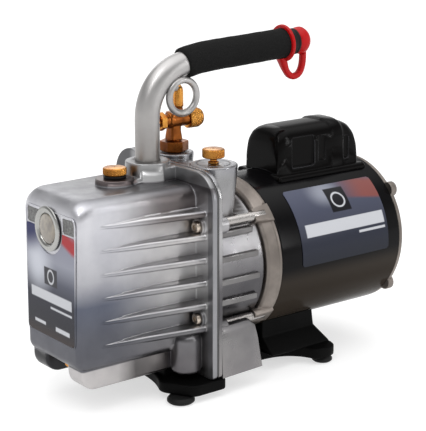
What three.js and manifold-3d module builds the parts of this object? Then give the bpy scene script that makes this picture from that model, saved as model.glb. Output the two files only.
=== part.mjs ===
// Two-stage rotary vane vacuum pump with its motor, on a moulded base.
// Millimetres, +Z up. X runs along the shaft: the sight glass end is at -X and the motor is at +X.
// The origin is on the ground under the middle of the machine.
import * as THREE from 'three';
import { mergeVertices } from 'three/addons/utils/BufferGeometryUtils.js';
import Module from 'manifold-3d';

const wasm = await Module();
wasm.setup();

// ---- driving dimensions ----
const GAP = 0.3; // between solids that touch
const TURN_GAP = 0.3; // round a faceted shaft that turns in its bore
const SHAFT_Z = 120; // height of the motor and pump axis
const FRONT_X = -206; // outer face of the sight glass bezel
const REAR_X = 206; // rearmost point of the motor

const BASE = {
  bottom: 6.5, top: 18, waist: 44, padFront: -107, padTop: 27.7, saddleFront: 25, saddleRear: 106,
};
const FOOT = { frontX: -98, rearX: 91, y: 69, radius: 14, rearRadius: 11 };

const TANK = { // oil reservoir casting
  frontX: -202.5, rearX: -68, halfFront: 50, halfRear: 56, bottom: 46, top: 214, corner: 20, wall: 5,
};
const FLANGE = { half: 76, bottom: 18.4, top: 228, corner: 28, tankX: [-68, -63], bracketX: [-61, -55] };
const GASKET_X = [-62.7, -61.3];
const RIB = { count: 6, lowest: 70, pitch: 23.6, thick: 4, startX: -176, reach: 74 };
const RAIL = { frontX: -198, rearX: -90, inner: 19, outer: 46, bottom: 26, corner: 16 };
const COLUMN = { x: -78, y: 53, radius: 13, bottom: 24, top: 62 };

const SIGHT = { z: 181, bezelRadius: 22, lensRadius: 14.5 };
const FILL = { x: -126, capRadius: 11.5, plugRadius: 8, bossRadius: 17, bossTop: 220 };
const DRAIN = { z: 42, radius: 5.5, frontX: -187 };

const TUBE = { x: -86.5, radius: 12, bore: 10, seatZ: 222, bossTop: 232.7, bossRadius: 22.5 };
const BEND = { z: 273.5, radius: 52 }; // handle bend, centre line
const GRIP = { radius: 15.7, endX: 91 };
const RING = { x: -49, y: -9, z: 293.5, radius: 17, wire: 3.5 };

const VALVE = { x: -28, y: 36, seatZ: 226.5, portZ: 261, capX: 6 }; // isolation valve on the intake column
const BALLAST = { x: -31.5, y: -36, topZ: 226, knobRadius: 11 };

const BRACKET = { rearX: 0.7, radius: 76, wall: 6, skirtBottom: 18.4 };
const LOBE = { y: 56.5, z: 204, radius: 27 }; // round bulge of the flanges on the intake side
const EAR = { radius: 9, spread: 1.12, rearX: -42 }; // lobes behind the flange, round the screws
const STUD = { y: 60, rise: 53, radius: 5 }; // long screws that hold the motor

const MOTOR = { radius: 82.5, shellX: [21.8, 194.7], skin: 2.5, bellX: 1, shaftRadius: 8 };
const COVER = { frontX: 61, rearX: 172, half: 28, flangeHalf: 36, crown: 253.4 };

const SWITCH = { z: 231 }; // rocker switch on the rear slope of the cover

const PUMP = { // pump module inside the reservoir, about the shaft axis
  bore: 28, rotor: 24, offset: 3.5, body: 38, rearX: -66, wallX: [-118, -122], frontX: -146, plateX: -155,
};
const BEARING = { outer: 20, front: [3, 16], rear: [181, 192] };
const VANE = { thick: 4, depth: 13, slack: 0.08 };

// ---- solids ----
function solid(geometry) {
  const bare = geometry.clone();
  bare.deleteAttribute('normal');
  bare.deleteAttribute('uv');
  const merged = mergeVertices(bare, 1e-4);
  const position = merged.attributes.position;
  const corners = [];
  for (let i = 0; i < merged.index.count; i += 3) {
    const triangle = [0, 1, 2].map((k) => merged.index.getX(i + k));
    if (new Set(triangle).size === 3) corners.push(triangle);
  }
  if (signedVolume(position, corners) < 0) corners.forEach((triangle) => triangle.reverse());
  return new wasm.Manifold(new wasm.Mesh({
    numProp: 3,
    vertProperties: new Float32Array(position.array),
    triVerts: new Uint32Array(corners.flat()),
  }));
}

function signedVolume(position, corners) {
  const [a, b, c] = [new THREE.Vector3(), new THREE.Vector3(), new THREE.Vector3()];
  return corners.reduce((sum, [i, j, k]) => {
    a.fromBufferAttribute(position, i);
    b.fromBufferAttribute(position, j);
    c.fromBufferAttribute(position, k);
    return sum + a.dot(b.cross(c)) / 6;
  }, 0);
}

function geometryOf(manifold) {
  const mesh = manifold.getMesh();
  const geometry = new THREE.BufferGeometry();
  geometry.setAttribute('position', new THREE.BufferAttribute(new Float32Array(mesh.vertProperties), 3));
  geometry.setIndex(new THREE.BufferAttribute(new Uint32Array(mesh.triVerts), 1));
  geometry.computeVertexNormals();
  return geometry;
}

const join = (...parts) => geometryOf(parts.map(solid).reduce((a, b) => a.add(b)));
const common = (...parts) => geometryOf(parts.map(solid).reduce((a, b) => a.intersect(b)));
const cut = (body, ...tools) => geometryOf(tools.map(solid).reduce((a, b) => a.subtract(b), solid(body)));

// ---- basic shapes, placed where they are used ----
function box(x0, x1, y0, y1, z0, z1) {
  const geometry = new THREE.BoxGeometry(x1 - x0, y1 - y0, z1 - z0);
  return geometry.translate((x0 + x1) / 2, (y0 + y1) / 2, (z0 + z1) / 2);
}

// Turns a shape made about +Y so that +Y lies along the named axis.
function along(axis, geometry) {
  if (axis === 'x') return geometry.rotateZ(-Math.PI / 2);
  if (axis === 'z') return geometry.rotateX(Math.PI / 2);
  return geometry;
}

// Cylinder from `from` to `to` on an axis line through the point at.
function rod(axis, radius, from, to, at = [0, 0, 0], sides = 24, endRadius = radius) {
  const geometry = new THREE.CylinderGeometry(endRadius, radius, to - from, sides);
  geometry.translate(0, (from + to) / 2, 0);
  return along(axis, geometry).translate(...at);
}

// Solid of revolution: the profile is [radius, place] pairs from axis to axis, or a closed ring.
function turned(axis, profile, at = [0, 0, 0], sides = 24) {
  const points = profile.map(([radius, place]) => new THREE.Vector2(radius, place));
  return along(axis, new THREE.LatheGeometry(points, sides)).translate(...at);
}

function tubeRing(axis, outer, inner, from, to, at = [0, 0, 0], sides = 24) {
  return turned(axis, [[inner, from], [outer, from], [outer, to], [inner, to], [inner, from]], at, sides);
}

// Outline extruded along an axis. The outline's own two axes are Y,Z for x; X,Z for y; X,Y for z.
function slab(axis, outline, from, to, curveSegments = 5) {
  const options = { depth: to - from, bevelEnabled: false, curveSegments };
  const geometry = new THREE.ExtrudeGeometry(outline, options);
  geometry.translate(0, 0, from);
  const turn = new THREE.Matrix4();
  if (axis === 'x') turn.set(0, 0, 1, 0, 1, 0, 0, 0, 0, 1, 0, 0, 0, 0, 0, 1);
  if (axis === 'y') turn.set(1, 0, 0, 0, 0, 0, 1, 0, 0, 1, 0, 0, 0, 0, 0, 1);
  return geometry.applyMatrix4(turn);
}

function outlineOf(points) {
  return new THREE.Shape(points.map(([u, v]) => new THREE.Vector2(u, v)));
}

// Rectangle with rounded corners: low corners share one radius, high corners another.
function roundedRect(u0, u1, v0, v1, low, high = low) {
  const shape = new THREE.Shape();
  shape.moveTo(u0 + low, v0);
  shape.absarc(u1 - low, v0 + low, low, -Math.PI / 2, 0);
  shape.absarc(u1 - high, v1 - high, high, 0, Math.PI / 2);
  shape.absarc(u0 + high, v1 - high, high, Math.PI / 2, Math.PI);
  shape.absarc(u0 + low, v0 + low, low, Math.PI, Math.PI * 1.5);
  return shape;
}

// Round bar or tube along a curve.
function swept(curve, radius, steps, sides = 12) {
  const circle = new THREE.Shape();
  circle.absarc(0, 0, radius, 0, Math.PI * 2);
  const options = { extrudePath: curve, steps, curveSegments: sides / 2, bevelEnabled: false };
  return new THREE.ExtrudeGeometry(circle, options);
}

function hexPrism(axis, acrossFlats, from, to, at) {
  return rod(axis, acrossFlats / Math.sqrt(3), from, to, at, 6);
}

// ---- materials ----
function material(color, roughness, metalness) {
  return new THREE.MeshStandardMaterial({ color, roughness, metalness });
}
const finish = {
  castAluminium: material(0xb9babd, 0.35, 1),
  roughAluminium: material(0x9d938a, 0.5, 1),
  brushedTube: material(0xb4b4b4, 0.3, 1),
  steel: material(0x9a9a98, 0.35, 1),
  brass: material(0xc58a33, 0.3, 1),
  blackGloss: material(0x0b0b0c, 0.25, 0),
  blackPlastic: material(0x121212, 0.6, 0),
  foam: material(0x19191b, 0.95, 0),
  rubber: material(0x161616, 0.8, 0),
  redRubber: material(0xb8121c, 0.45, 0),
  label: material(0x596072, 0.35, 0.2),
  glass: material(0x8f8777, 0.1, 0),
  copper: material(0x9c5a3a, 0.5, 1),
  carbon: material(0x2b2b2d, 0.6, 0),
};

const pump = new THREE.Group();

function add(group, name, geometry, look, position = [0, 0, 0]) {
  const mesh = new THREE.Mesh(geometryOf(solid(geometry)), look);
  mesh.name = name;
  mesh.position.set(...position);
  group.add(mesh);
}

// ---- base and feet ----
function baseCradle() {
  const { bottom, top, waist, padFront, padTop, saddleFront, saddleRear } = BASE;
  const lobeY = 83.5;
  const plan = new THREE.Shape();
  plan.moveTo(-109, -waist);
  plan.quadraticCurveTo(-111, -lobeY, -96, -lobeY);
  plan.lineTo(-56, -lobeY);
  plan.quadraticCurveTo(-50, -lobeY, -50, -lobeY + 8);
  plan.quadraticCurveTo(-46, -waist, 0, -waist);
  plan.lineTo(30, -waist);
  plan.quadraticCurveTo(66, -waist - 2, 74, -lobeY + 6);
  plan.quadraticCurveTo(106, -lobeY - 3, 107, -62);
  plan.quadraticCurveTo(94, -30, 94, 0);
  plan.quadraticCurveTo(94, 30, 107, 62);
  plan.quadraticCurveTo(106, lobeY + 3, 74, lobeY - 6);
  plan.quadraticCurveTo(66, waist + 2, 30, waist);
  plan.lineTo(0, waist);
  plan.quadraticCurveTo(-46, waist, -50, lobeY - 8);
  plan.quadraticCurveTo(-50, lobeY, -56, lobeY);
  plan.lineTo(-96, lobeY);
  plan.quadraticCurveTo(-111, lobeY, -109, waist);
  const plate = slab('z', plan, bottom, top, 4);
  const side = outlineOf([
    [-66, top - 1], [-58, 24], [-47, 34], [-47, 56], [47, 56], [47, 34], [58, 24], [66, top - 1],
  ]);
  const saddle = slab('x', side, saddleFront, saddleRear);
  const rearFlank = slab('y', outlineOf([[106, top], [97, 34], [93, 60], [120, 60], [120, top]]), -70, 70);
  const pad = box(padFront, FLANGE.tankX[0] - 2, -40, 40, top - 1, padTop);
  const bed = rod('x', MOTOR.radius + GAP, saddleFront - 1, saddleRear + 20, [0, 0, SHAFT_Z], 48);
  return cut(join(plate, cut(saddle, rearFlank), pad), bed);
}

function foot(radius) {
  const top = BASE.bottom - GAP;
  return turned('z', [[0, 0], [radius - 1.5, 0], [radius, 2], [radius - 1, top], [0, top]], [0, 0, 0], 16);
}

function addBase() {
  add(pump, 'base_cradle', baseCradle(), finish.blackPlastic);
  const { frontX, rearX, y, radius, rearRadius } = FOOT;
  add(pump, 'foot_front_left', foot(radius), finish.rubber, [frontX, -y, 0]);
  add(pump, 'foot_front_right', foot(radius), finish.rubber, [frontX, y, 0]);
  add(pump, 'foot_rear_left', foot(rearRadius), finish.rubber, [rearX, -y, 0]);
  add(pump, 'foot_rear_right', foot(rearRadius), finish.rubber, [rearX, y, 0]);
}

// ---- oil reservoir ----
function tankBlock(inset, rearX) {
  const { frontX, halfFront, halfRear, bottom, top, corner } = TANK;
  const x0 = frontX + inset;
  const low = bottom + inset;
  const high = top - inset;
  const front = halfFront - inset;
  const rear = halfRear - inset;
  const across = slab('x', roundedRect(-rear, rear, low, high, corner - inset), x0, rearX);
  const side = slab('y', outlineOf([
    [x0 + 9, low + 4], [x0 + 3, low + 11], [x0, low + 20], [x0, high - 18],
    [x0 + 4, high - 9], [x0 + 13, high - 1], [x0 + 22, high], [rearX, high], [rearX, low],
  ]), -90, 90);
  const plan = slab('z', outlineOf([
    [x0 + 6, -front + 1], [x0 + 1.5, -front + 4], [x0, -front + 8], [x0, front - 8], [x0 + 1.5, front - 4],
    [x0 + 6, front - 1], [x0 + 16, front + 1], [rearX, rear], [rearX, -rear], [x0 + 16, -front - 1],
  ]), 0, 300);
  return common(across, side, plan);
}

function flangeOutline(inset = 0) {
  const { half, bottom, top, corner } = FLANGE;
  return roundedRect(-half + inset, half - inset, bottom + inset, top - inset, 6, corner);
}

function tankRibs() {
  const ribs = [];
  for (let level = 0; level < RIB.count; level += 1) {
    const z = RIB.lowest + level * RIB.pitch;
    for (const side of [-1, 1]) {
      const plan = outlineOf([
        [RIB.startX, side * (TANK.halfFront - 3)], [RIB.startX, side * (TANK.halfFront + 1)],
        [TANK.rearX + 1, side * RIB.reach], [TANK.rearX + 1, side * (TANK.halfRear - 3)],
      ]);
      ribs.push(slab('z', plan, z - RIB.thick / 2, z + RIB.thick / 2));
    }
  }
  return ribs;
}

function tankRails() {
  const { frontX, rearX, inner, outer, bottom, corner } = RAIL;
  const high = TANK.bottom + 12;
  const side = new THREE.Shape();
  side.moveTo(rearX, high);
  side.lineTo(frontX, high);
  side.absarc(frontX + corner, bottom + corner, corner, Math.PI, Math.PI * 1.5);
  side.lineTo(BASE.padFront - GAP, bottom);
  side.lineTo(BASE.padFront - GAP, BASE.padTop + GAP);
  side.lineTo(rearX, BASE.padTop + GAP);
  return [slab('y', side, -outer, -inner), slab('y', side, inner, outer)];
}

// Where the flange screws and the motor studs stand, as [y, z].
const FLANGE_SCREW = { y: 60, lower: 80, upper: 174.5 };
const screwPlaces = [-1, 1].flatMap((side) => (
  [FLANGE_SCREW.lower, FLANGE_SCREW.upper].map((z) => [side * FLANGE_SCREW.y, z])
));
const studPlaces = [-1, 1].flatMap((side) => (
  [-1, 1].map((level) => [side * STUD.y, SHAFT_Z + level * STUD.rise])
));
const screwNames = ['lower_left', 'upper_left', 'lower_right', 'upper_right'];
const SCREW_HOLE = 3.3;

function reservoirHousing() {
  const { tankX } = FLANGE;
  const fillBoss = rod('z', FILL.bossRadius, TANK.top - 4, FILL.bossTop, [FILL.x, 0, 0], 20);
  const landHalf = FILL.bossRadius - 2;
  const land = box(FILL.x, tankX[0] + 1, -landHalf, landHalf, TANK.top - 4, FILL.bossTop - 1.5);
  const tubeBoss = rod('z', TUBE.bossRadius, TANK.top - 6, TUBE.bossTop, [TUBE.x, 0, 0], 24);
  const columns = [-1, 1].map((side) => rod(
    'z', COLUMN.radius, COLUMN.bottom, COLUMN.top, [COLUMN.x, side * COLUMN.y, 0], 14,
  ));
  const drainBoss = rod('x', 8, DRAIN.frontX + 9, TANK.frontX + 45, [0, 0, DRAIN.z], 16);
  const drainRoot = box(DRAIN.frontX + 12, TANK.frontX + 45, -8, 8, DRAIN.z, TANK.bottom + 8);
  const flange = slab('x', flangeOutline(), ...tankX);
  const lobe = rod('x', LOBE.radius, ...tankX, [0, LOBE.y, LOBE.z], 32);
  const screwBosses = screwPlaces.map(([y, z]) => rod('x', 9, tankX[0] - 3, tankX[1] - 1, [0, y, z], 14));
  const shell = join(
    tankBlock(0, tankX[0] + 1), flange, lobe, fillBoss, land, tubeBoss, ...columns, drainBoss, drainRoot,
    ...tankRibs(), ...tankRails(), ...screwBosses,
  );
  const cavity = tankBlock(TANK.wall, tankX[1] + 1);
  const fillHole = rod('z', FILL.plugRadius + 0.4, TANK.top - 20, 240, [FILL.x, 0, 0], 16);
  const tubeSocket = rod('z', TUBE.radius + GAP, TUBE.seatZ, 240, [TUBE.x, 0, 0], 20);
  const exhaustHole = rod('z', TUBE.bore - 1, TANK.top - 20, 240, [TUBE.x, 0, 0], 12);
  const screwHoles = screwPlaces.flatMap(([y, z]) => [
    rod('x', SCREW_HOLE, tankX[0] - 8, tankX[1] + 1, [0, y, z], 8),
    rod('x', 6.2, tankX[0] - 14, tankX[0] - 3, [0, y, z], 14),
  ]);
  const glassHole = rod('x', SIGHT.lensRadius - 3, TANK.frontX - 1, TANK.frontX + 12, [0, 0, SIGHT.z], 16);
  const drainHole = rod('x', 3.3, DRAIN.frontX, DRAIN.frontX + 24, [0, 0, DRAIN.z], 8);
  return cut(shell, cavity, fillHole, tubeSocket, exhaustHole, glassHole, drainHole, ...screwHoles);
}

function reservoirGasket() {
  const outer = slab('x', flangeOutline(1), ...GASKET_X);
  const hole = slab('x', roundedRect(-50, 50, 53, 207, 14), GASKET_X[0] - 1, GASKET_X[1] + 1);
  const holes = screwPlaces.map(([y, z]) => rod('x', 3.6, GASKET_X[0] - 1, GASKET_X[1] + 1, [0, y, z], 8));
  return cut(outer, hole, ...holes);
}

// Pan head screw about +X: the head is at -X and the socket is a hexagon.
function flangeScrew() {
  const headX = FLANGE.tankX[0] - 3 - GAP;
  const body = turned('x', [
    [0, headX - 4], [3.5, headX - 4], [5.6, headX - 2], [5.6, headX], [3, headX], [3, -56.5], [0, -56.5],
  ], [0, 0, 0], 12);
  return cut(body, hexPrism('x', 4, headX - 5, headX - 1.5));
}

function sightGlass() {
  const front = FRONT_X;
  const back = TANK.frontX - 0.9;
  const { bezelRadius, lensRadius, z } = SIGHT;
  const bezel = turned('x', [
    [lensRadius + GAP, back], [bezelRadius, back], [bezelRadius, back - 1.2], [bezelRadius - 1.5, front],
    [lensRadius + 2, front], [lensRadius + GAP, front + 1.2], [lensRadius + GAP, back],
  ], [0, 0, z], 24);
  const lens = turned('x', [
    [0, front + 0.8], [lensRadius - 2, front + 0.8], [lensRadius, front + 1.4], [lensRadius, back], [0, back],
  ], [0, 0, z], 24);
  return { bezel, lens };
}

function frontNameplate() {
  const front = TANK.frontX - 0.7;
  const back = TANK.frontX - GAP;
  const plate = slab('x', roundedRect(-42, 42, 71, 197, 10), front, back);
  return cut(plate, rod('x', SIGHT.bezelRadius + 0.5, front - 1, back + 1, [0, 0, SIGHT.z], 24));
}

function fillCap() {
  const base = FILL.bossTop + 3;
  const knurled = rod('z', FILL.capRadius, base, base + 7.5, [0, 0, 0], 20);
  return join(knurled, rod('z', FILL.plugRadius, TANK.top - 6, base + 1, [0, 0, 0], 16));
}

function drainCap() {
  const { frontX, radius } = DRAIN;
  const head = rod('x', radius, frontX, frontX + 8.7, [0, 0, 0], 16);
  return join(head, rod('x', 2.9, frontX + 7, frontX + 20, [0, 0, 0], 12));
}

function addReservoir() {
  add(pump, 'reservoir_housing', reservoirHousing(), finish.castAluminium);
  add(pump, 'reservoir_gasket', reservoirGasket(), finish.rubber);
  screwNames.forEach((name, i) => {
    add(pump, `flange_screw_${name}`, flangeScrew(), finish.steel, [0, ...screwPlaces[i]]);
  });
  const { bezel, lens } = sightGlass();
  add(pump, 'sight_glass_bezel', bezel, finish.steel);
  add(pump, 'sight_glass_lens', lens, finish.glass);
  add(pump, 'front_nameplate', frontNameplate(), finish.label);
  add(pump, 'oil_fill_cap', fillCap(), finish.brass, [FILL.x, 0, 0]);
  const sealZ = FILL.bossTop + GAP;
  const seal = tubeRing('z', FILL.capRadius - 1.5, FILL.plugRadius + 0.4, sealZ, FILL.bossTop + 3 - GAP);
  add(pump, 'oil_fill_seal', seal, finish.rubber, [FILL.x, 0, 0]);
  add(pump, 'drain_cap', drainCap(), finish.brass, [0, 0, DRAIN.z]);
}

// ---- pump-to-motor bracket ----
function pumpBracket() {
  const { rearX, radius, wall, skirtBottom } = BRACKET;
  const { bracketX, half } = FLANGE;
  const flange = slab('x', flangeOutline(), ...bracketX);
  const barrel = rod('x', radius, bracketX[1] - 1, rearX, [0, 0, SHAFT_Z], 40);
  const skirts = [-1, 1].map((side) => slab('z', outlineOf([
    [bracketX[1] - 1, side * half], [rearX - 2, side * (half - 7)], [rearX - 2, side * (half - 12)],
    [bracketX[1] - 1, side * (half - 6)],
  ]), skirtBottom, 68));
  const ballastColumn = rod('z', 19, 150, BALLAST.topZ, [BALLAST.x, BALLAST.y, 0], 24, 24.5);
  const valveColumn = rod('z', 17, 150, VALVE.seatZ + 2, [VALVE.x, VALVE.y, 0], 24, 21);
  const lobe = rod('x', LOBE.radius, ...bracketX, [0, LOBE.y, LOBE.z], 32);
  const bridge = box(bracketX[0], -24, -44, 44, 186, FLANGE.top - 4);
  const ears = studPlaces.map(([y, z]) => (
    rod('x', EAR.radius, bracketX[1] - 1, EAR.rearX, [0, y * EAR.spread, z], 16)
  ));
  const inside = rod('x', radius - wall, bracketX[1] + 3, rearX + 1, [0, 0, SHAFT_Z], 32);
  const shaftHole = rod('x', 14, bracketX[0] - 1, bracketX[1] + 5, [0, 0, SHAFT_Z], 16);
  const studHoles = studPlaces.map(([y, z]) => (
    rod('x', STUD.radius + GAP, bracketX[1] + 4, rearX + 1, [0, y, z], 12)
  ));
  const screwHoles = screwPlaces.map(([y, z]) => (
    rod('x', SCREW_HOLE, bracketX[0] - 1, bracketX[1] - 1, [0, y, z], 8)
  ));
  const ballastHole = rod('z', 3.4, BALLAST.topZ - 20, BALLAST.topZ + 1, [BALLAST.x, BALLAST.y, 0], 12);
  const valveHole = rod('z', 8, FLANGE.top - 24, VALVE.seatZ + 3, [VALVE.x, VALVE.y, 0], 16);
  const body = join(flange, lobe, barrel, ...skirts, ballastColumn, valveColumn, bridge, ...ears);
  return cut(body, inside, shaftHole, ...studHoles, ...screwHoles, ballastHole, valveHole);
}

function addBracket() {
  add(pump, 'pump_bracket', pumpBracket(), finish.castAluminium);
  const stud = rod('x', STUD.radius, FLANGE.bracketX[1] + 4 + GAP, 14, [0, 0, 0], 12);
  screwNames.forEach((name, i) => {
    add(pump, `motor_stud_${name}`, stud, finish.steel, [0, ...studPlaces[i]]);
  });
}

// ---- handle: exhaust tube, grip, hose ring, tethered cap ----
const bendCentre = [TUBE.x + BEND.radius, BEND.z];
const LAST_ANGLE = THREE.MathUtils.degToRad(78); // how far the bend turns the tube
const RISE = THREE.MathUtils.degToRad(3.3); // slope of the straight run
const TUBE_STEPS = 22;
const tubeEnd = { x: 113, z: 336.7 };

function bendPoint(angle, radius = BEND.radius) {
  return [bendCentre[0] - radius * Math.cos(angle), bendCentre[1] + radius * Math.sin(angle)];
}

// Centre line of the handle: up, round the bend, and along a run that flattens out.
function handlePath() {
  const points = [[TUBE.x, TUBE.seatZ + GAP], [TUBE.x, 240], [TUBE.x, 262]];
  for (let i = 0; i <= 8; i += 1) points.push(bendPoint((LAST_ANGLE * i) / 8));
  points.push([-26, 328.4], [-5, 330.4], [34, 332.4], [tubeEnd.x, tubeEnd.z]);
  return new THREE.CatmullRomCurve3(points.map(([x, z]) => new THREE.Vector3(x, 0, z)), false, 'centripetal');
}
// Point on the straight run, measured along X.
const runPoint = (x) => [x, 0, tubeEnd.z + (x - tubeEnd.x) * Math.tan(RISE)];

// Places a shape made about +X from its origin on the sloping run.
function onRun(geometry, x) {
  return geometry.rotateY(-RISE).translate(...runPoint(x));
}

function handleTube() {
  const path = handlePath();
  return cut(swept(path, TUBE.radius, TUBE_STEPS), swept(extended(path), TUBE.bore, TUBE_STEPS, 8));
}

// The same path with both ends carried on a little, for cutting the bore.
function extended(path) {
  const points = path.points.map((p) => p.clone());
  points[0].z -= 3;
  points[points.length - 1].add(new THREE.Vector3(3 * Math.cos(RISE), 0, 3 * Math.sin(RISE)));
  return new THREE.CatmullRomCurve3(points, false, 'centripetal');
}

// The grip's outside, between the end of the bend and its end on the run.
function gripOutside(radius) {
  const past = box(0, 60, -40, 40, -60, 60).rotateY(-RISE).translate(...runPoint(GRIP.endX));
  const [startX, startZ] = bendPoint(LAST_ANGLE);
  const before = box(-150, 0, -40, 40, -150, 60);
  before.rotateY(LAST_ANGLE - Math.PI / 2).translate(startX, 0, startZ);
  return cut(swept(handlePath(), radius, TUBE_STEPS, 16), past, before);
}

function gripSleeve() {
  return cut(gripOutside(GRIP.radius), swept(extended(handlePath()), TUBE.radius + GAP * 2, TUBE_STEPS));
}

function hoseRing() {
  const { x, y, z, radius, wire } = RING;
  const ring = new THREE.TorusGeometry(radius, wire, 8, 20).rotateX(Math.PI / 2).translate(x, y, z);
  const [weldX, weldZ] = bendPoint(THREE.MathUtils.degToRad(52), BEND.radius - TUBE.radius);
  const weld = new THREE.SphereGeometry(4.6, 10, 6).translate(weldX + 1, y / 2 - 2, weldZ - 1);
  const tube = swept(handlePath(), TUBE.radius + GAP * 2, TUBE_STEPS);
  return cut(join(ring, weld), tube, gripOutside(GRIP.radius + GAP));
}

const SLEEVE_X = 93.5; // front end of the rubber sleeve on the run
const CAP_X = 104; // where the cap's open end stands on the run
const CAP_RADIUS = 14.5;

function exhaustPieces() {
  const sleeve = tubeRing('x', 13.8, TUBE.radius + GAP * 2, 0, CAP_X - SLEEVE_X - GAP, [0, 0, 0], 20);
  const dome = turned('x', [
    [0, 0], [12.8, 0], [13.8, 2.5], [CAP_RADIUS, 7], [13.6, 11.5], [10, 15], [5, 16.4], [0, 16.8],
  ], [0, 0, 0], 20);
  const cap = cut(dome, rod('x', TUBE.radius + GAP * 2, -1, tubeEnd.x - CAP_X + 1, [0, 0, 0], 16));
  return { sleeve, cap };
}

// Ring round the grip's end with the strap that loops down and up to the cap.
function capTether() {
  const ring = onRun(tubeRing('x', 19.6, GRIP.radius + GAP, -4, 0, [0, 0, 0], 20), GRIP.endX - 2);
  const strap = new THREE.Shape();
  strap.moveTo(85.3, 320);
  strap.bezierCurveTo(87.5, 312, 91, 296.3, 104, 296.3);
  strap.bezierCurveTo(116.5, 296.3, 121.5, 303, 120.5, 324);
  strap.lineTo(114.8, 324);
  strap.bezierCurveTo(115.8, 306, 112.5, 301.4, 105.5, 301.4);
  strap.bezierCurveTo(98.5, 301.4, 95, 311, 91, 319.5);
  const band = slab('y', strap, -3.6, 3.6, 6);
  const capRoom = onRun(rod('x', CAP_RADIUS + GAP, -1, 20, [0, 0, 0], 24), CAP_X);
  const gripRoom = onRun(rod('x', GRIP.radius + GAP, -30, 0, [0, 0, 0], 28), GRIP.endX);
  return cut(join(ring, band), capRoom, gripRoom);
}

function addHandle() {
  add(pump, 'handle_tube', handleTube(), finish.brushedTube);
  add(pump, 'grip_sleeve', gripSleeve(), finish.foam);
  add(pump, 'hose_ring', hoseRing(), finish.brushedTube);
  const { sleeve, cap } = exhaustPieces();
  add(pump, 'exhaust_sleeve', onRun(sleeve, SLEEVE_X), finish.rubber);
  add(pump, 'exhaust_cap', onRun(cap, CAP_X), finish.redRubber);
  add(pump, 'cap_tether', capTether(), finish.redRubber);
}

// ---- intake isolation valve, built about its own upright axis ----
function addValve() {
  const valve = new THREE.Group();
  valve.position.set(VALVE.x, VALVE.y, VALVE.seatZ);
  pump.add(valve);
  const portZ = VALVE.portZ - VALVE.seatZ;
  const stemRadius = 3;
  const nut = join(hexPrism('z', 27, 3, 13), rod('z', 12.5, 2.4, 3.5, [0, 0, 0], 20));
  add(valve, 'intake_union_nut', cut(nut, rod('z', 7.3, 0, 14, [0, 0, 0], 20)), finish.brass);
  const post = rod('z', 7, -10, 14, [0, 0, 0], 16);
  const upright = box(-7, 7, -7, 7, 13.3, portZ + 9);
  const arm = rod('x', 7.5, 6, 16, [0, 0, portZ], 18);
  const thread = rod('x', 6.2, 15, 27, [0, 0, portZ], 16);
  const neck = rod('x', 7, -13, -6, [0, 0, portZ], 16);
  const topNeck = rod('z', 4.6, portZ + 4, portZ + 13, [VALVE.capX, 0, 0], 14);
  const topThread = rod('z', 3, portZ + 12, portZ + 22, [VALVE.capX, 0, 0], 12);
  const stemBore = rod('x', stemRadius + TURN_GAP, -14, 0, [0, 0, portZ], 12);
  const body = join(post, upright, arm, thread, neck, topNeck, topThread);
  add(valve, 'intake_valve_body', cut(body, stemBore), finish.brass);
  const portCap = cut(
    turned('x', [
      [0, 16.4], [9.6, 16.4], [10.2, 17.4], [10.2, 31], [8.6, 33.6], [0, 34.5],
    ], [0, 0, portZ], 16),
    rod('x', 6.5, 15, 27.4, [0, 0, portZ], 16),
  );
  add(valve, 'intake_port_cap', portCap, finish.brass);
  const topCap = cut(
    turned('z', [
      [0, 13.4], [5.2, 13.4], [5.6, 15], [5.6, 29], [4.5, 33.5], [2, 36.5], [0, 37],
    ], [VALVE.capX, 0, portZ], 14),
    rod('z', 3.3, 12, 22.4, [VALVE.capX, 0, portZ], 12),
  );
  add(valve, 'intake_top_cap', topCap, finish.brass);
  const packing = cut(
    hexPrism('x', 17, -20, -13.4, [0, 0, portZ]),
    rod('x', stemRadius + TURN_GAP, -21, -12, [0, 0, portZ], 12),
  );
  add(valve, 'valve_packing_nut', packing, finish.brass);
  const lever = join(
    rod('x', stemRadius, -28, -3, [0, 0, portZ], 12),
    rod('x', 6, -28, -20.4, [0, 0, portZ], 16),
    box(-27, -22, -5, 5, portZ, portZ + 24),
    rod('x', 5, -27, -22, [0, 0, portZ + 24], 16),
  );
  add(valve, 'valve_lever', lever, finish.brass);
}

function addBallast() {
  const ballast = new THREE.Group();
  ballast.position.set(BALLAST.x, BALLAST.y, BALLAST.topZ);
  pump.add(ballast);
  const { knobRadius } = BALLAST;
  const stem = turned('z', [
    [0, -14], [3, -14], [3, 0.4], [5.4, 0.6], [5.4, 2], [4, 4.2], [0, 4.2],
  ], [0, 0, 0], 16);
  const knob = turned('z', [
    [0, 4.5], [4.2, 4.5], [9.5, 6.6], [knobRadius, 8], [knobRadius, 13.5], [9.5, 15], [0, 15.6],
  ], [0, 0, 0], 20);
  add(ballast, 'ballast_stem', stem, finish.brass);
  add(ballast, 'ballast_knob', knob, finish.brass);
}

// ---- motor, about the shaft axis ----
function lugs(x0, x1, radius) {
  return studPlaces.map(([y, z]) => rod('x', radius, x0, x1, [0, y, z - SHAFT_Z], 12));
}

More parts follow.
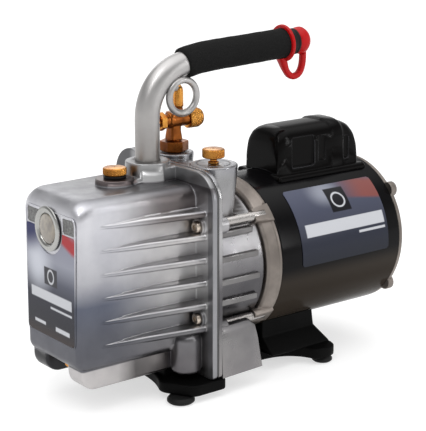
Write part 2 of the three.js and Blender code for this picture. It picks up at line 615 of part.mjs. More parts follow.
function frontBell() {
  const { radius, bellX, shellX } = MOTOR;
  const seat = BEARING.outer;
  const bell = turned('x', [
    [seat + GAP, bellX], [78, bellX], [80, bellX + 3], [radius, shellX[0] - 3], [radius, shellX[0] - GAP],
    [radius - 6, shellX[0] - GAP], [70, bellX + 6], [seat + 6, bellX + 6], [seat + 6, bellX + 17],
    [seat + GAP, bellX + 17], [seat + GAP, bellX],
  ], [0, 0, 0], 32);
  const studHoles = studPlaces.map(([y, z]) => (
    rod('x', STUD.radius + GAP, 0, 14 + GAP, [0, y, z - SHAFT_Z], 12)
  ));
  const trim = rod('x', radius + 3, bellX, shellX[0] - GAP, [0, 0, 0], 32);
  const rounds = common(join(...lugs(bellX, shellX[0] - GAP, 9)), trim);
  return cut(join(bell, rounds), ...studHoles);
}

function rearBell() {
  const { radius, shellX } = MOTOR;
  const from = shellX[1] + GAP;
  const bell = turned('x', [
    [0, REAR_X], [30, REAR_X], [58, REAR_X - 2], [74, REAR_X - 5],
    [radius - 1.5, from + 4], [radius - 1.5, from], [26, from], [26, 180],
    [BEARING.outer + GAP, 180], [BEARING.outer + GAP, from - 2], [0, from - 2],
  ], [0, 0, 0], 32);
  return join(bell, ...lugs(from, REAR_X - 2, 8));
}

function stator() {
  return tubeRing('x', MOTOR.radius - MOTOR.skin - 0.5, 46, 52, 146, [0, 0, 0], 24);
}

function motorRotor() {
  const { shaftRadius } = MOTOR;
  return turned('x', [
    [0, -37], [shaftRadius - 1, -37], [shaftRadius, -36], [shaftRadius, 52], [44.5, 52], [44.5, 146],
    [shaftRadius, 146], [shaftRadius, 192.5], [0, 192.5],
  ], [0, 0, 0], 20);
}

function bearing(x0, x1) {
  return tubeRing('x', BEARING.outer, MOTOR.shaftRadius + TURN_GAP, x0, x1, [0, 0, 0], 20);
}

function coolingFan() {
  const hub = tubeRing('x', 16, MOTOR.shaftRadius + GAP, 156, 172, [0, 0, 0], 14);
  const disc = tubeRing('x', 60, 14, 156, 158.5, [0, 0, 0], 20);
  const blades = [];
  for (let i = 0; i < 6; i += 1) blades.push(box(157, 170, 14, 59, -1.2, 1.2).rotateX((i * Math.PI) / 3));
  return join(hub, disc, ...blades);
}

// Half of a jaw coupling: three jaws stand towards the other half.
function couplingHub(from, to, jawFrom, jawTo, turn) {
  const disc = tubeRing('x', 18, MOTOR.shaftRadius + GAP, from, to, [0, 0, 0], 16);
  const jaws = [];
  for (let i = 0; i < 3; i += 1) {
    const wedge = outlineOf([[9.5, -3.4], [17, -5.4], [17, 5.4], [9.5, 3.4]]);
    jaws.push(slab('x', wedge, jawFrom, jawTo).rotateX(turn + (i * Math.PI * 2) / 3));
  }
  return join(disc, ...jaws);
}

function motorNameplate() {
  const radius = MOTOR.radius + 0.9;
  const band = tubeRing('x', radius, MOTOR.radius + GAP, 49, 172, [0, 0, 0], 48);
  const sector = outlineOf([[0, 0], [-140 * Math.cos(0.96), 140 * Math.sin(0.96)], [-170, 80], [-170, -10],
    [-140 * Math.cos(-0.06), 140 * Math.sin(-0.06)]]);
  return common(band, slab('x', sector, 40, 180));
}

function coverBlock(inset) {
  const { frontX, rearX, half, crown } = COVER;
  const x0 = frontX + inset;
  const x1 = rearX - inset;
  const top = crown - inset * 2;
  const low = 180 - inset;
  const side = slab('y', outlineOf([
    [x0, low], [x0, 228], [x0 + 2, 240 - inset], [x0 + 8, 248 - inset], [x0 + 16, top - 2.6],
    [x0 + 68, top - 1.6], [x0 + 71, top + 1], [x0 + 83, top + 1], [x0 + 87, top - 3],
    [x0 + 98, top - 6], [x1 - 5, 240 - inset], [x1, 222], [x1, low],
  ]), -80, 80);
  const arch = new THREE.Shape();
  const wide = half - inset;
  arch.moveTo(-wide, low);
  arch.lineTo(wide, low);
  arch.lineTo(wide, 235 - inset);
  arch.quadraticCurveTo(wide - 2, top - 1, 11, top);
  arch.lineTo(-11, top);
  arch.quadraticCurveTo(-wide + 2, top - 1, -wide, 235 - inset);
  return common(side, slab('x', arch, x0 - 1, x1 + 1, 8));
}

function capacitorCover() {
  const { frontX, rearX, flangeHalf } = COVER;
  const flange = slab('z', roundedRect(frontX - 5, rearX + 4, -flangeHalf, flangeHalf, 10), 180, 201);
  const shell = cut(join(coverBlock(0), flange), coverBlock(3));
  const motor = rod('x', MOTOR.radius + GAP, 0, 220, [0, 0, SHAFT_Z], 48);
  const inletHole = box(rearX - 10, rearX + 10, -14 - GAP, 14 + GAP, 204 - GAP, 220 + GAP);
  const switchHole = box(rearX - 26, rearX + 10, -8 - GAP, 8 + GAP, SWITCH.z - 9, SWITCH.z + 7);
  return cut(shell, motor, inletHole, switchHole);
}

function powerInlet() {
  const { rearX } = COVER;
  const block = box(rearX - 22, rearX + 2.5, -14, 14, 204, 220);
  const recess = box(rearX - 14, rearX + 4, -10.5, 10.5, 206.5, 217.5);
  const pins = [-6, 0, 6].map((y) => box(rearX - 15, rearX - 4, y - 1, y + 1, 210, 214.5));
  return join(cut(block, recess), ...pins);
}

function rockerSwitch() {
  const side = outlineOf([[-4, -7], [2.4, -7], [5, -5.2], [2, 0], [1.6, 5.2], [-4, 5.2]]);
  return slab('y', side, -7.4, 7.4);
}

function addMotor() {
  const motor = new THREE.Group();
  motor.position.z = SHAFT_Z;
  pump.add(motor);
  const { radius, shellX, skin } = MOTOR;
  const shell = tubeRing('x', radius, radius - skin, ...shellX, [0, 0, 0], 48);
  add(motor, 'motor_shell', shell, finish.blackGloss);
  add(motor, 'motor_front_bell', frontBell(), finish.roughAluminium);
  add(motor, 'motor_rear_bell', rearBell(), finish.roughAluminium);
  add(motor, 'motor_stator', stator(), finish.copper);
  add(motor, 'motor_rotor', motorRotor(), finish.steel);
  add(motor, 'front_bearing', bearing(...BEARING.front), finish.steel);
  add(motor, 'rear_bearing', bearing(...BEARING.rear), finish.steel);
  add(motor, 'cooling_fan', coolingFan(), finish.blackPlastic);
  add(motor, 'motor_nameplate', motorNameplate(), finish.label);
  add(motor, 'coupling_motor_hub', couplingHub(-36, -24, -44, -35.8, 0), finish.steel);
  add(motor, 'coupling_pump_hub', couplingHub(-51.6, -44.4, -44.6, -36.5, Math.PI / 3), finish.steel);
  add(pump, 'capacitor_cover', capacitorCover(), finish.blackGloss);
  add(pump, 'run_capacitor', rod('x', 16, 70, 136, [0, 0, 224], 20), finish.steel);
  add(pump, 'power_inlet', powerInlet(), finish.blackPlastic);
  add(pump, 'power_switch', rockerSwitch(), finish.redRubber, [COVER.rearX - 4, 0, SWITCH.z]);
}

// ---- pump module, about the shaft axis ----
function pumpCasting() {
  const { bore, offset, body, rearX, wallX, frontX } = PUMP;
  const block = join(
    rod('x', body, frontX, rearX, [0, 0, -offset], 24),
    box(frontX, rearX, -12, 12, 30, 46),
    box(rearX - 8, rearX, -46, 46, -30, 30),
  );
  const firstBore = rod('x', bore, wallX[0], rearX + 1, [0, 0, -offset], 28);
  const secondBore = rod('x', bore, frontX - 1, wallX[1], [0, 0, -offset], 28);
  const shaftHole = rod('x', 9, frontX, rearX, [0, 0, 0], 16);
  const exhaustHole = rod('z', 3, 10, 60, [-134, 0, 0], 8);
  return cut(block, firstBore, secondBore, shaftHole, exhaustHole);
}

function pumpRotor() {
  const { rotor, rearX, wallX, frontX } = PUMP;
  const lengths = [[wallX[0] + 0.4, rearX - 0.2], [frontX + 0.2, wallX[1] - 0.4]];
  const shaft = rod('x', 8, frontX - 5, -43, [0, 0, 0], 16);
  const drums = lengths.map(([x0, x1]) => rod('x', rotor, x0, x1, [0, 0, 0], 28));
  const slots = lengths.flatMap(([x0, x1]) => [-1, 1].map((side) => {
    const ends = [side * (rotor - VANE.depth - 4.5), side * (rotor + 2)].sort((a, b) => a - b);
    const half = VANE.thick / 2 + VANE.slack;
    return box(x0 - 0.1, x1 + 0.1, ...ends, -half, half);
  }));
  return cut(join(shaft, ...drums), ...slots);
}

function addPumpModule() {
  const inner = new THREE.Group();
  inner.position.z = SHAFT_Z;
  pump.add(inner);
  const { rotor, rearX, wallX, frontX, plateX, body, offset } = PUMP;
  add(inner, 'pump_casting', pumpCasting(), finish.carbon);
  const plate = cut(
    rod('x', body, plateX, frontX - GAP, [0, 0, -offset], 24),
    rod('x', MOTOR.shaftRadius + TURN_GAP + 0.1, frontX - 6, frontX + 1, [0, 0, 0], 16),
  );
  add(inner, 'pump_end_plate', plate, finish.carbon);
  add(inner, 'pump_rotor', pumpRotor(), finish.steel);
  const spans = { first: [wallX[0] + 0.6, rearX - 0.4], second: [frontX + 0.4, wallX[1] - 0.6] };
  for (const [stage, [x0, x1]] of Object.entries(spans)) {
    for (const [name, side] of [['left', -1], ['right', 1]]) {
      const [near, far] = [rotor - VANE.depth, rotor - 0.3].map((y) => side * y);
      const blade = box(x0, x1, Math.min(near, far), Math.max(near, far), -VANE.thick / 2, VANE.thick / 2);
      add(inner, `vane_${stage}_${name}`, blade, finish.carbon);
    }
  }
  const valve = rod('z', 5, 46 + GAP, 48, [-134, 0, 0], 16);
  add(inner, 'exhaust_valve_disc', valve, finish.steel);
}

addBase();
addReservoir();
addBracket();
addHandle();
addValve();
addBallast();
addMotor();
addPumpModule();

export default pump;
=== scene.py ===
"""Looks for the rotary vane vacuum pump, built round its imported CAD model. Shapes are in millimetres."""
from math import copysign, cos, pi, radians, sin, sqrt, tan

import bmesh
import bpy
from mathutils import Matrix, Vector


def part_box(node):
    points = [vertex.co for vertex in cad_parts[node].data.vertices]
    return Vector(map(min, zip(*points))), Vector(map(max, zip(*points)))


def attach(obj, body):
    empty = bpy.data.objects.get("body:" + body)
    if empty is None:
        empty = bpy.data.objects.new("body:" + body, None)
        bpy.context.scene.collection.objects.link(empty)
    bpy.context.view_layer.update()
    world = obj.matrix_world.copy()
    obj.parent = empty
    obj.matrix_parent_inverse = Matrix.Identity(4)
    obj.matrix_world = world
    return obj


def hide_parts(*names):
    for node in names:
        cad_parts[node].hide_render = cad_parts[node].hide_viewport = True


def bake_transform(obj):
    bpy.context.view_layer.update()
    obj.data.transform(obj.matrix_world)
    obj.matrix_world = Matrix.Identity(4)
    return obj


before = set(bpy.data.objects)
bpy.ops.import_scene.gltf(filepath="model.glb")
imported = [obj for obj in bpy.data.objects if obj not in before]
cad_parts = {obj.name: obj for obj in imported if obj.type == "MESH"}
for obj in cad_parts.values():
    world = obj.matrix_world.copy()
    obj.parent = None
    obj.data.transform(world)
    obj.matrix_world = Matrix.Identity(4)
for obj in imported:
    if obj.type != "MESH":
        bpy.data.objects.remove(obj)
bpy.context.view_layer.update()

MM = 0.001


# ---- places taken from the frame, in millimetres ----
def node_box(name):
    low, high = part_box(name)
    return [c / MM for c in low], [c / MM for c in high]


def middle(name):
    low, high = node_box(name)
    return [(a + b) / 2 for a, b in zip(low, high)]


tank_low, tank_high = node_box("reservoir_housing")
SHAFT_Z = middle("motor_shell")[2]
SHAFT = (0, 0, SHAFT_Z)
FLANGE_HALF = tank_high[1]
SCREWS = [("left", "lower"), ("left", "upper"), ("right", "lower"), ("right", "upper")]
SCREW_AT = {(side, level): middle(f"flange_screw_{level}_{side}") for side, level in SCREWS}
STUD_AT = {(side, level): middle(f"motor_stud_{level}_{side}") for side, level in SCREWS}


# ---- mesh building ----
def into_scene(thing):
    bpy.context.scene.collection.objects.link(thing)


def add_mesh(name, vertices, faces, sharp=35):
    mesh = bpy.data.meshes.new(name)
    mesh.from_pydata([(x * MM, y * MM, z * MM) for x, y, z in vertices], [], faces)
    piece = bpy.data.objects.new(name, mesh)
    into_scene(piece)
    tidy(piece, sharp)
    return piece


def tidy(piece, sharp=35):
    """Merges doubled points, turns the faces outwards and marks the sharp edges."""
    mesh = piece.data
    bm = bmesh.new()
    bm.from_mesh(mesh)
    bmesh.ops.remove_doubles(bm, verts=bm.verts, dist=2e-6)
    bmesh.ops.dissolve_degenerate(bm, edges=bm.edges, dist=1e-6)
    bmesh.ops.recalc_face_normals(bm, faces=bm.faces)
    bm.to_mesh(mesh)
    bm.free()
    mesh.shade_smooth()
    mesh.set_sharp_from_angle(angle=radians(sharp))


def loft(name, rings, sharp=35, closed=False):
    """Skin through rings of points of equal count. The ends are capped unless the loft is closed."""
    count = len(rings[0])
    vertices = [point for ring in rings for point in ring]
    last = len(rings) if closed else len(rings) - 1
    faces = []
    for i in range(last):
        for j in range(count):
            a, b = i * count + j, i * count + (j + 1) % count
            shift = count if i < len(rings) - 1 else -i * count
            faces.append((a, b, b + shift, a + shift))
    if not closed:
        faces.append(tuple(reversed(range(count))))
        faces.append(tuple((len(rings) - 1) * count + j for j in range(count)))
    return add_mesh(name, vertices, faces, sharp)


def axis_point(axis, radius, angle, along, at=(0, 0, 0)):
    """A point at a radius and angle about an axis line through `at`."""
    u, v = radius * cos(angle), radius * sin(angle)
    local = {"x": (along, u, v), "y": (v, along, u), "z": (u, v, along)}[axis]
    return tuple(a + b for a, b in zip(local, at))


def rod(radius, start, stop, tip=None):
    """Profile of a plain round bar, or of a cone when the radius `tip` at its far end is given."""
    return [(0, start), (radius, start), (radius if tip is None else tip, stop), (0, stop)]


def turned(name, axis, profile, at=(0, 0, 0), sides=64, sharp=35, shape=None):
    """Solid of revolution. The profile is (radius, place) pairs from axis to axis, or a closed ring."""
    ring_profile = profile[0] == profile[-1]
    points = profile[:-1] if ring_profile else profile
    rings = []
    for j in range(sides):
        angle = 2 * pi * j / sides
        rings.append([
            axis_point(axis, radius + (shape(angle, place, radius) if shape else 0), angle, place, at)
            for radius, place in points
        ])
    count = len(points)
    faces = []
    for j in range(sides):
        k = (j + 1) % sides
        for i in range(count if ring_profile else count - 1):
            n = (i + 1) % count
            faces.append((j * count + i, j * count + n, k * count + n, k * count + i))
    return add_mesh(name, [p for ring in rings for p in ring], faces, sharp)


def rounded(points, radius, steps=4, closed=False):
    """The outline with its corners turned into arcs. `radius` is one value or one for each point."""
    radii = radius if isinstance(radius, (list, tuple)) else [radius] * len(points)
    result = []
    for i, (point, r) in enumerate(zip(points, radii)):
        end = not closed and i in (0, len(points) - 1)
        if end or r <= 0:
            result.append(tuple(point))
            continue
        here = Vector(point)
        before = Vector(points[i - 1]) - here
        after = Vector(points[(i + 1) % len(points)]) - here
        turn = before.angle(after)
        if turn > pi - 0.01:
            result.append(tuple(point))
            continue
        reach = min(r / tan(turn / 2), before.length * 0.49, after.length * 0.49)
        start, stop = here + before.normalized() * reach, here + after.normalized() * reach
        for k in range(steps + 1):
            t = k / steps
            result.append(tuple(start * (1 - t) ** 2 + here * 2 * t * (1 - t) + stop * t * t))
    return result


def rounded_rect(u0, u1, v0, v1, low, high=None, steps=8):
    """Outline with corner arcs: `low` is the radius of the two corners at v0, `high` at v1."""
    high = low if high is None else high
    corners = [(u1 - low, v0 + low, low, -90), (u1 - high, v1 - high, high, 0),
               (u0 + high, v1 - high, high, 90), (u0 + low, v0 + low, low, 180)]
    outline = []
    for cu, cv, r, start in corners:
        for k in range(steps + 1):
            angle = radians(start + 90 * k / steps)
            outline.append((cu + r * cos(angle), cv + r * sin(angle)))
    return outline


def to_axis(axis, u, v, along):
    return {"x": (along, u, v), "y": (u, along, v), "z": (u, v, along)}[axis]


def prism(name, axis, outline, start, stop, edge=0.0, sharp=35, steps=3):
    """Outline extruded along an axis, with both rims rounded by `edge`."""
    if edge <= 0:
        rings = [[to_axis(axis, u, v, at) for u, v in outline] for at in (start, stop)]
        return loft(name, rings, sharp)
    profile = [(edge * (1 - sin(pi / 2 * k / steps)), edge * (1 - cos(pi / 2 * k / steps)))
               for k in range(steps + 1)]
    low = [(inset, start + lift) for inset, lift in profile]
    high = [(inset, stop - lift) for inset, lift in reversed(profile)]
    rings = [[to_axis(axis, u, v, at) for u, v in inset_outline(outline, inset)] for inset, at in low + high]
    return loft(name, rings, sharp)


def inset_outline(outline, distance):
    """The outline moved inwards by a distance, for outlines with no tight concave corners."""
    if distance == 0:
        return list(outline)
    area = sum(a[0] * b[1] - b[0] * a[1] for a, b in zip(outline, outline[1:] + outline[:1])) / 2
    sign = 1 if area > 0 else -1
    result = []
    count = len(outline)
    for i, point in enumerate(outline):
        here = Vector(point)
        before = here - Vector(outline[i - 1])
        after = Vector(outline[(i + 1) % count]) - here
        before = before.normalized() if before.length > 1e-6 else after.normalized()
        after = after.normalized() if after.length > 1e-6 else before
        normal = Vector((-(before.y + after.y), before.x + after.x)) * sign
        normal = normal.normalized() if normal.length > 1e-6 else Vector((-before.y, before.x)) * sign
        stretch = max(0.5, normal.dot(Vector((-before.y, before.x)) * sign))
        result.append(tuple(here + normal * distance / stretch))
    return result


def box(name, x0, x1, y0, y1, z0, z1, edge=0.8):
    outline = rounded_rect(x0, x1, y0, y1, max(edge, 0.01), steps=3)
    return prism(name, "z", outline, z0, z1, edge, steps=2)


def swept(name, path, radius, sides=40, closed=False, squash=1.0, sharp=50):
    """Round bar along a list of points. `radius` is a value or a function of the share of the way along."""
    points = [Vector(p) for p in path]
    count = len(points)
    rings = []
    up = Vector((0, 1, 0))
    for i, here in enumerate(points):
        if closed:
            tangent = points[(i + 1) % count] - points[i - 1]
        else:
            tangent = points[min(i + 1, count - 1)] - points[max(i - 1, 0)]
        tangent.normalize()
        side = (up - tangent * up.dot(tangent)).normalized()
        other = tangent.cross(side)
        r = radius(i / (count - 1)) if callable(radius) else radius
        rings.append([tuple(here + side * (r * squash * cos(2 * pi * j / sides))
                            + other * (r * sin(2 * pi * j / sides))) for j in range(sides)])
    return loft(name, rings, sharp, closed)


def bake(piece, sharp=None):
    """Turns the piece's modifiers into mesh."""
    graph = bpy.context.evaluated_depsgraph_get()
    mesh = bpy.data.meshes.new_from_object(piece.evaluated_get(graph))
    piece.modifiers.clear()
    piece.data = mesh
    if sharp is not None:
        mesh.shade_smooth()
        mesh.set_sharp_from_angle(angle=radians(sharp))
    return piece


def combine(piece, tools, operation, sharp=35):
    """Boolean with each tool in turn. The tools are used up."""
    for tool in tools:
        change = piece.modifiers.new("boolean", "BOOLEAN")
        change.operation = operation
        change.solver = "MANIFOLD"
        change.object = tool
        bpy.context.view_layer.update()
        bake(piece)
        bpy.data.objects.remove(tool)
    piece.data.shade_smooth()
    piece.data.set_sharp_from_angle(angle=radians(sharp))
    change = piece.modifiers.new("even_normals", "WEIGHTED_NORMAL")
    change.keep_sharp = True
    return bake(piece)


def union(piece, *tools, sharp=35):
    return combine(piece, tools, "UNION", sharp)


def subtract(piece, *tools, sharp=35):
    return combine(piece, tools, "DIFFERENCE", sharp)


def joined(name, pieces):
    """Several separate solids as one object."""
    bm = bmesh.new()
    for piece in pieces:
        bm.from_mesh(piece.data)
        bpy.data.objects.remove(piece)
    mesh = bpy.data.meshes.new(name)
    bm.to_mesh(mesh)
    bm.free()
    result = bpy.data.objects.new(name, mesh)
    into_scene(result)
    mesh.shade_smooth()
    mesh.set_sharp_from_angle(angle=radians(35))
    return result


def turn_about(piece, axis, degrees, at):
    """Turns the piece's mesh about a line through `at`, in millimetres."""
    centre = Vector(at) * MM
    turn = Matrix.Translation(centre) @ Matrix.Rotation(radians(degrees), 4, axis)
    piece.data.transform(turn @ Matrix.Translation(-centre))
    return piece


def finish_piece(piece, look, body="root", replaces=None):
    """Gives the piece its material and body, and hides the node it replaces. A name ending in _fine replaces
    the node of that name.
    """
    piece.data.materials.clear()
    piece.data.materials.append(materials[look])
    if body:
        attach(piece, body)
    if piece.name.endswith("_fine"):
        replaces = piece.name.removesuffix("_fine")
    if replaces:
        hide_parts(replaces)


# ---- materials ----
class Shader:
    """A material's node tree, with short calls for the nodes used here."""

    def __init__(self, name):
        self.material = bpy.data.materials.new(name)
        self.material.use_nodes = True
        self.tree = self.material.node_tree
        self.surface = self.tree.nodes["Principled BSDF"]
        self.place = self.node("ShaderNodeTexCoord").outputs["Object"]

    def node(self, kind, *values, **settings):
        """A new node. Plain values fill its first sockets, and capitalised settings fill sockets by name."""
        made = self.tree.nodes.new(kind)
        for key, value in settings.items():
            if key[0].isupper():
                self.link(value, made.inputs[key.replace("_", " ")])
            else:
                setattr(made, key, value)
        for value, socket in zip(values, made.inputs):
            self.link(value, socket)
        return made

    def link(self, source, target):
        if hasattr(source, "is_output"):
            self.tree.links.new(source, target)
        else:
            target.default_value = source

    def set(self, **values):
        for key, value in values.items():
            self.link(value, self.surface.inputs[key.replace("_", " ")])
        return self

    def noise(self, scale, detail=3.0):
        made = self.node("ShaderNodeTexNoise", Vector=self.place, Scale=scale, Detail=detail, Roughness=0.55)
        return made.outputs["Fac"]

    def cells(self, scale):
        return self.node("ShaderNodeTexVoronoi", Vector=self.place, Scale=scale).outputs["Distance"]

    def ramp(self, value, *stops):
        """Colours along a value. A stop is (place, colour), and the colour may be one number for a grey."""
        made = self.node("ShaderNodeValToRGB")
        elements = made.color_ramp.elements
        while len(elements) < len(stops):
            elements.new(0.5)
        for element, (at, colour) in zip(elements, stops):
            element.position = at
            element.color = (*colour, 1) if isinstance(colour, tuple) else (colour, colour, colour, 1)
        self.link(value, made.inputs["Fac"])
        return made.outputs["Color"]

    def math(self, operation, a, b=0.0):
        return self.node("ShaderNodeMath", a, b, operation=operation).outputs[0]

    def range(self, value, from_low, from_high, to_low=0.0, to_high=1.0, ease="SMOOTHSTEP"):
        made = self.node("ShaderNodeMapRange", interpolation_type=ease, Value=value, From_Min=from_low,
                         From_Max=from_high, To_Min=to_low, To_Max=to_high)
        return made.outputs["Result"]

    def range_linear(self, value, low, high):
        return self.range(value, low, high, ease="LINEAR")

    def mix(self, share, a, b, blend="MIX"):
        made = self.node("ShaderNodeMix", data_type="RGBA", blend_type=blend)
        self.link(share, made.inputs["Factor"])
        for socket, value in zip([s for s in made.inputs if s.type == "RGBA"], (a, b)):
            self.link((*value, 1) if isinstance(value, tuple) else value, socket)
        return [s for s in made.outputs if s.type == "RGBA"][0]

    def axis(self, letter):
        return self.node("ShaderNodeSeparateXYZ", self.place).outputs[letter]

    def normal(self):
        return self.node("ShaderNodeNewGeometry").outputs["Normal"]

    def soft_normal(self, radius):
        """The normal as if the edges were rounded."""
        return self.node("ShaderNodeBevel", samples=6, Radius=radius).outputs["Normal"]

    def edges(self, radius):
        """1 close to an edge, 0 on faces."""
        rounded_off = self.soft_normal(radius)
        match = self.node("ShaderNodeVectorMath", rounded_off, self.normal(), operation="DOT_PRODUCT")
        return self.range(match.outputs["Value"], 0.99, 0.78)

    def mix_value(self, share, low, high):
        """A plain number that goes from low to high."""
        return self.math("ADD", self.math("MULTIPLY", share, high - low), low)

    def facing_up(self):
        """1 on level tops, 0 on walls."""
        return self.node("ShaderNodeSeparateXYZ", self.normal()).outputs["Z"]

    def bump(self, height, strength, distance=0.0004, rounding=0.0):
        made = self.node("ShaderNodeBump", Height=height, Strength=strength, Distance=distance)
        if rounding:
            self.link(self.soft_normal(rounding), made.inputs["Normal"])
        self.set(Normal=made.outputs[0])


def cast_metal(name, light, dark, rough=(0.28, 0.42), rounding=0.0010, grain=0.02, shade=None):
    s = Shader(name)
    cloud = s.noise(22, 4)
    colour = s.mix(s.range(cloud, 0.3, 0.7), dark, light)
    if shade:
        colour = s.mix(1.0, colour, shade(s), "MULTIPLY")
    pits = s.noise(1500, 2)
    s.set(Base_Color=colour, Metallic=1.0, Roughness=s.range(s.noise(60, 3), 0.3, 0.7, *rough))
    s.bump(pits, grain, 0.0003, rounding)
    return s.material


def tank_shade(s):
    """Painted light and shade on the casting: a pale lit shoulder, a cooler, darker wall in painted shade,
    pale lit rails, a grey roof and painted highlights on the fin tops.
    """
    height, along, across = s.axis("Z"), s.axis("X"), s.axis("Y")
    level = s.range_linear(height, 0.045, 0.22)
    # Painted light on the shoulder and painted shade down the wall, at the front and at the rear.
    front = s.ramp(level, (0.0, (0.20, 0.20, 0.215)), (0.20, (0.17, 0.175, 0.20)),
                   (0.38, (0.17, 0.185, 0.235)), (0.52, (0.62, 0.62, 0.65)), (0.80, (0.90, 0.90, 0.93)))
    rear = s.ramp(level, (0.0, (0.22, 0.21, 0.215)), (0.20, (0.28, 0.28, 0.285)), (0.38, (0.62, 0.61, 0.60)),
                  (0.70, (0.80, 0.78, 0.76)), (0.82, (0.26, 0.23, 0.22)), (1.0, (0.20, 0.18, 0.175)))
    tone = s.mix(s.range(along, -0.175, -0.10), front, rear)
    # Painted light on the flange's front face, with painted shade at its foot.
    flange = s.ramp(s.range_linear(height, 0.02, 0.22), (0.0, (0.34, 0.33, 0.33)), (0.22, (0.42, 0.41, 0.41)),
                    (0.35, (0.9, 0.9, 0.88)), (0.85, 0.9), (1.0, 0.68))
    on_flange = s.range(along, -0.0700, -0.0680)
    tone = s.mix(on_flange, tone, flange)
    # Painted light on the rail noses, fading to painted shade towards the rear.
    rail = s.ramp(s.range_linear(along, -0.198, -0.06), (0.0, (0.80, 0.77, 0.75)), (0.30, (0.72, 0.69, 0.67)),
                  (0.45, (0.20, 0.19, 0.185)), (0.62, (0.30, 0.28, 0.27)), (0.75, (0.17, 0.155, 0.15)))
    # The far rail is in painted shade.
    rail = s.mix(s.range(across, -0.01, 0.01), rail, (0.06, 0.06, 0.062))
    on_rail = s.math("MULTIPLY", s.range(height, 0.0470, 0.0455), s.range(along, -0.0960, -0.0975))
    tone = s.mix(on_rail, tone, rail)
    # Painted shade on the flange's side edge, to dull its highlight.
    flange_edge = s.math("MULTIPLY", on_flange, s.range(across, -0.0742, -0.0756))
    tone = s.mix(flange_edge, tone, (0.42, 0.42, 0.43))
    # Painted light on level tops below the roof, mostly the fin tops.
    painted_lit_tops = s.math("MULTIPLY", s.range(s.facing_up(), 0.5, 0.9), s.range(height, 0.198, 0.190))
    tone = s.mix(painted_lit_tops, tone, (0.95, 0.94, 0.93))
    # The roof is in painted shade towards the flange.
    roof = s.ramp(s.range_linear(along, -0.20, -0.07), (0.0, (0.46, 0.46, 0.48)), (0.30, (0.40, 0.40, 0.41)),
                  (1.0, (0.20, 0.19, 0.195)))
    tone = s.mix(s.range(height, 0.2055, 0.2135), tone, roof)
    bosses = s.mix(s.range(along, -0.112, -0.108), (0.22, 0.185, 0.18), (0.50, 0.50, 0.495))
    tone = s.mix(s.range(height, 0.2145, 0.2160), tone, bosses)
    # The far side is in painted shade.
    return s.mix(s.range(across, 0.050, 0.060), tone, (0.16, 0.16, 0.165))


def bracket_shade(s):
    """Shaded under the drum and bright half way up."""
    level = s.range_linear(s.axis("Z"), 0.02, 0.225)
    return s.ramp(level, (0.0, (0.46, 0.44, 0.43)), (0.18, (0.34, 0.33, 0.325)),
                  (0.30, (0.15, 0.145, 0.15)), (0.44, (0.17, 0.165, 0.17)), (0.56, (0.40, 0.39, 0.39)),
                  (0.68, (0.66, 0.65, 0.65)), (0.84, (0.60, 0.59, 0.58)), (0.95, (0.50, 0.50, 0.49)),
                  (1.0, (0.55, 0.55, 0.56)))


def tube_shade(s):
    """The tube is a little darker near its foot."""
    return s.ramp(s.range_linear(s.axis("Z"), 0.22, 0.30), (0.0, (0.60, 0.58, 0.56)), (1.0, 1.0))


def make_materials():
    m = {}
    m["cast"] = cast_metal("cast_aluminium", (0.66, 0.66, 0.67), (0.54, 0.54, 0.56), shade=tank_shade)
    m["bracket"] = cast_metal("bracket_aluminium", (0.62, 0.62, 0.63), (0.46, 0.46, 0.48), (0.24, 0.38),
                              shade=bracket_shade)
    m["bell"] = cast_metal("bell_aluminium", (0.30, 0.265, 0.24), (0.17, 0.15, 0.135), (0.40, 0.55),
                           grain=0.25)
    m["tube"] = brushed_metal("brushed_tube", (0.44, 0.43, 0.425), 0.36, tube_shade)
    # A darker copy of the bracket metal, for painted shade on the drum's bars.
    m["shaded_bars"] = cast_metal("shaded_drum_bars", (0.20, 0.195, 0.195), (0.15, 0.145, 0.145), (0.26, 0.36), 0.0, 0.02)
    m["stud"] = brushed_metal("stud_steel", (0.42, 0.40, 0.385), 0.24)
    m["zinc"] = brushed_metal("zinc_plate", (0.60, 0.52, 0.44), 0.20)
    m["bezel"] = brushed_metal("turned_bezel", (0.40, 0.40, 0.385), 0.16)
    m["brass"] = brass()
    m["brass_dark"] = brass("forged_brass", (0.30, 0.095, 0.020), (0.15, 0.042, 0.010), (0.26, 0.42))
    m["enamel"] = gloss_black("black_enamel", 0.13, 260, 0.01, 0.16, enamel_painted_reflection)
    m["cover"] = gloss_black("cover_gloss", 0.12, 420, 0.02, 0.10, painted_edge_highlights)
    m["plastic"] = grained_black("base_plastic", 0.0022, (0.42, 0.58), 1600, 0.15, 0.05)
    m["rubber"] = grained_black("black_rubber", 0.006, (0.5, 0.7), 900, 0.2, 0.2)
    m["foam"] = foam()
    m["red"] = red_rubber()
    m["glass"] = sight_glass()
    m["seal"] = grained_black("seal_rubber", 0.005, (0.4, 0.55), 700, 0.1, 0.2)
    m["gasket"] = grained_black("gasket_paper", 0.10, (0.5, 0.7), 700, 0.1, 0.3)
    m["window"] = window_material()
    m["front_label"] = front_label()
    m["motor_label"] = motor_label()
    m["iron"] = cast_metal("machined_iron", (0.16, 0.16, 0.16), (0.10, 0.10, 0.10), (0.35, 0.5))
    m["copper"] = cast_metal("windings", (0.42, 0.18, 0.08), (0.28, 0.12, 0.06), (0.4, 0.55))
    m["vane"] = grained_black("vane_composite", 0.04, (0.4, 0.5), 800, 0.1, 0.3)
    m["switch"] = red_rubber("switch_red", 0.2)
    return m


def brushed_metal(name, colour, rough, shade=None):
    s = Shader(name)
    lines = s.noise(1400, 2)
    tone = s.mix(s.range(s.noise(30, 3), 0.3, 0.7), tuple(c * 0.86 for c in colour), colour)
    if shade:
        tone = s.mix(1.0, tone, shade(s), "MULTIPLY")
    s.set(Base_Color=tone, Metallic=1.0, Roughness=s.range(lines, 0.2, 0.8, rough - 0.05, rough + 0.08))
    s.bump(lines, 0.03, 0.0001, 0.0005)
    return s.material


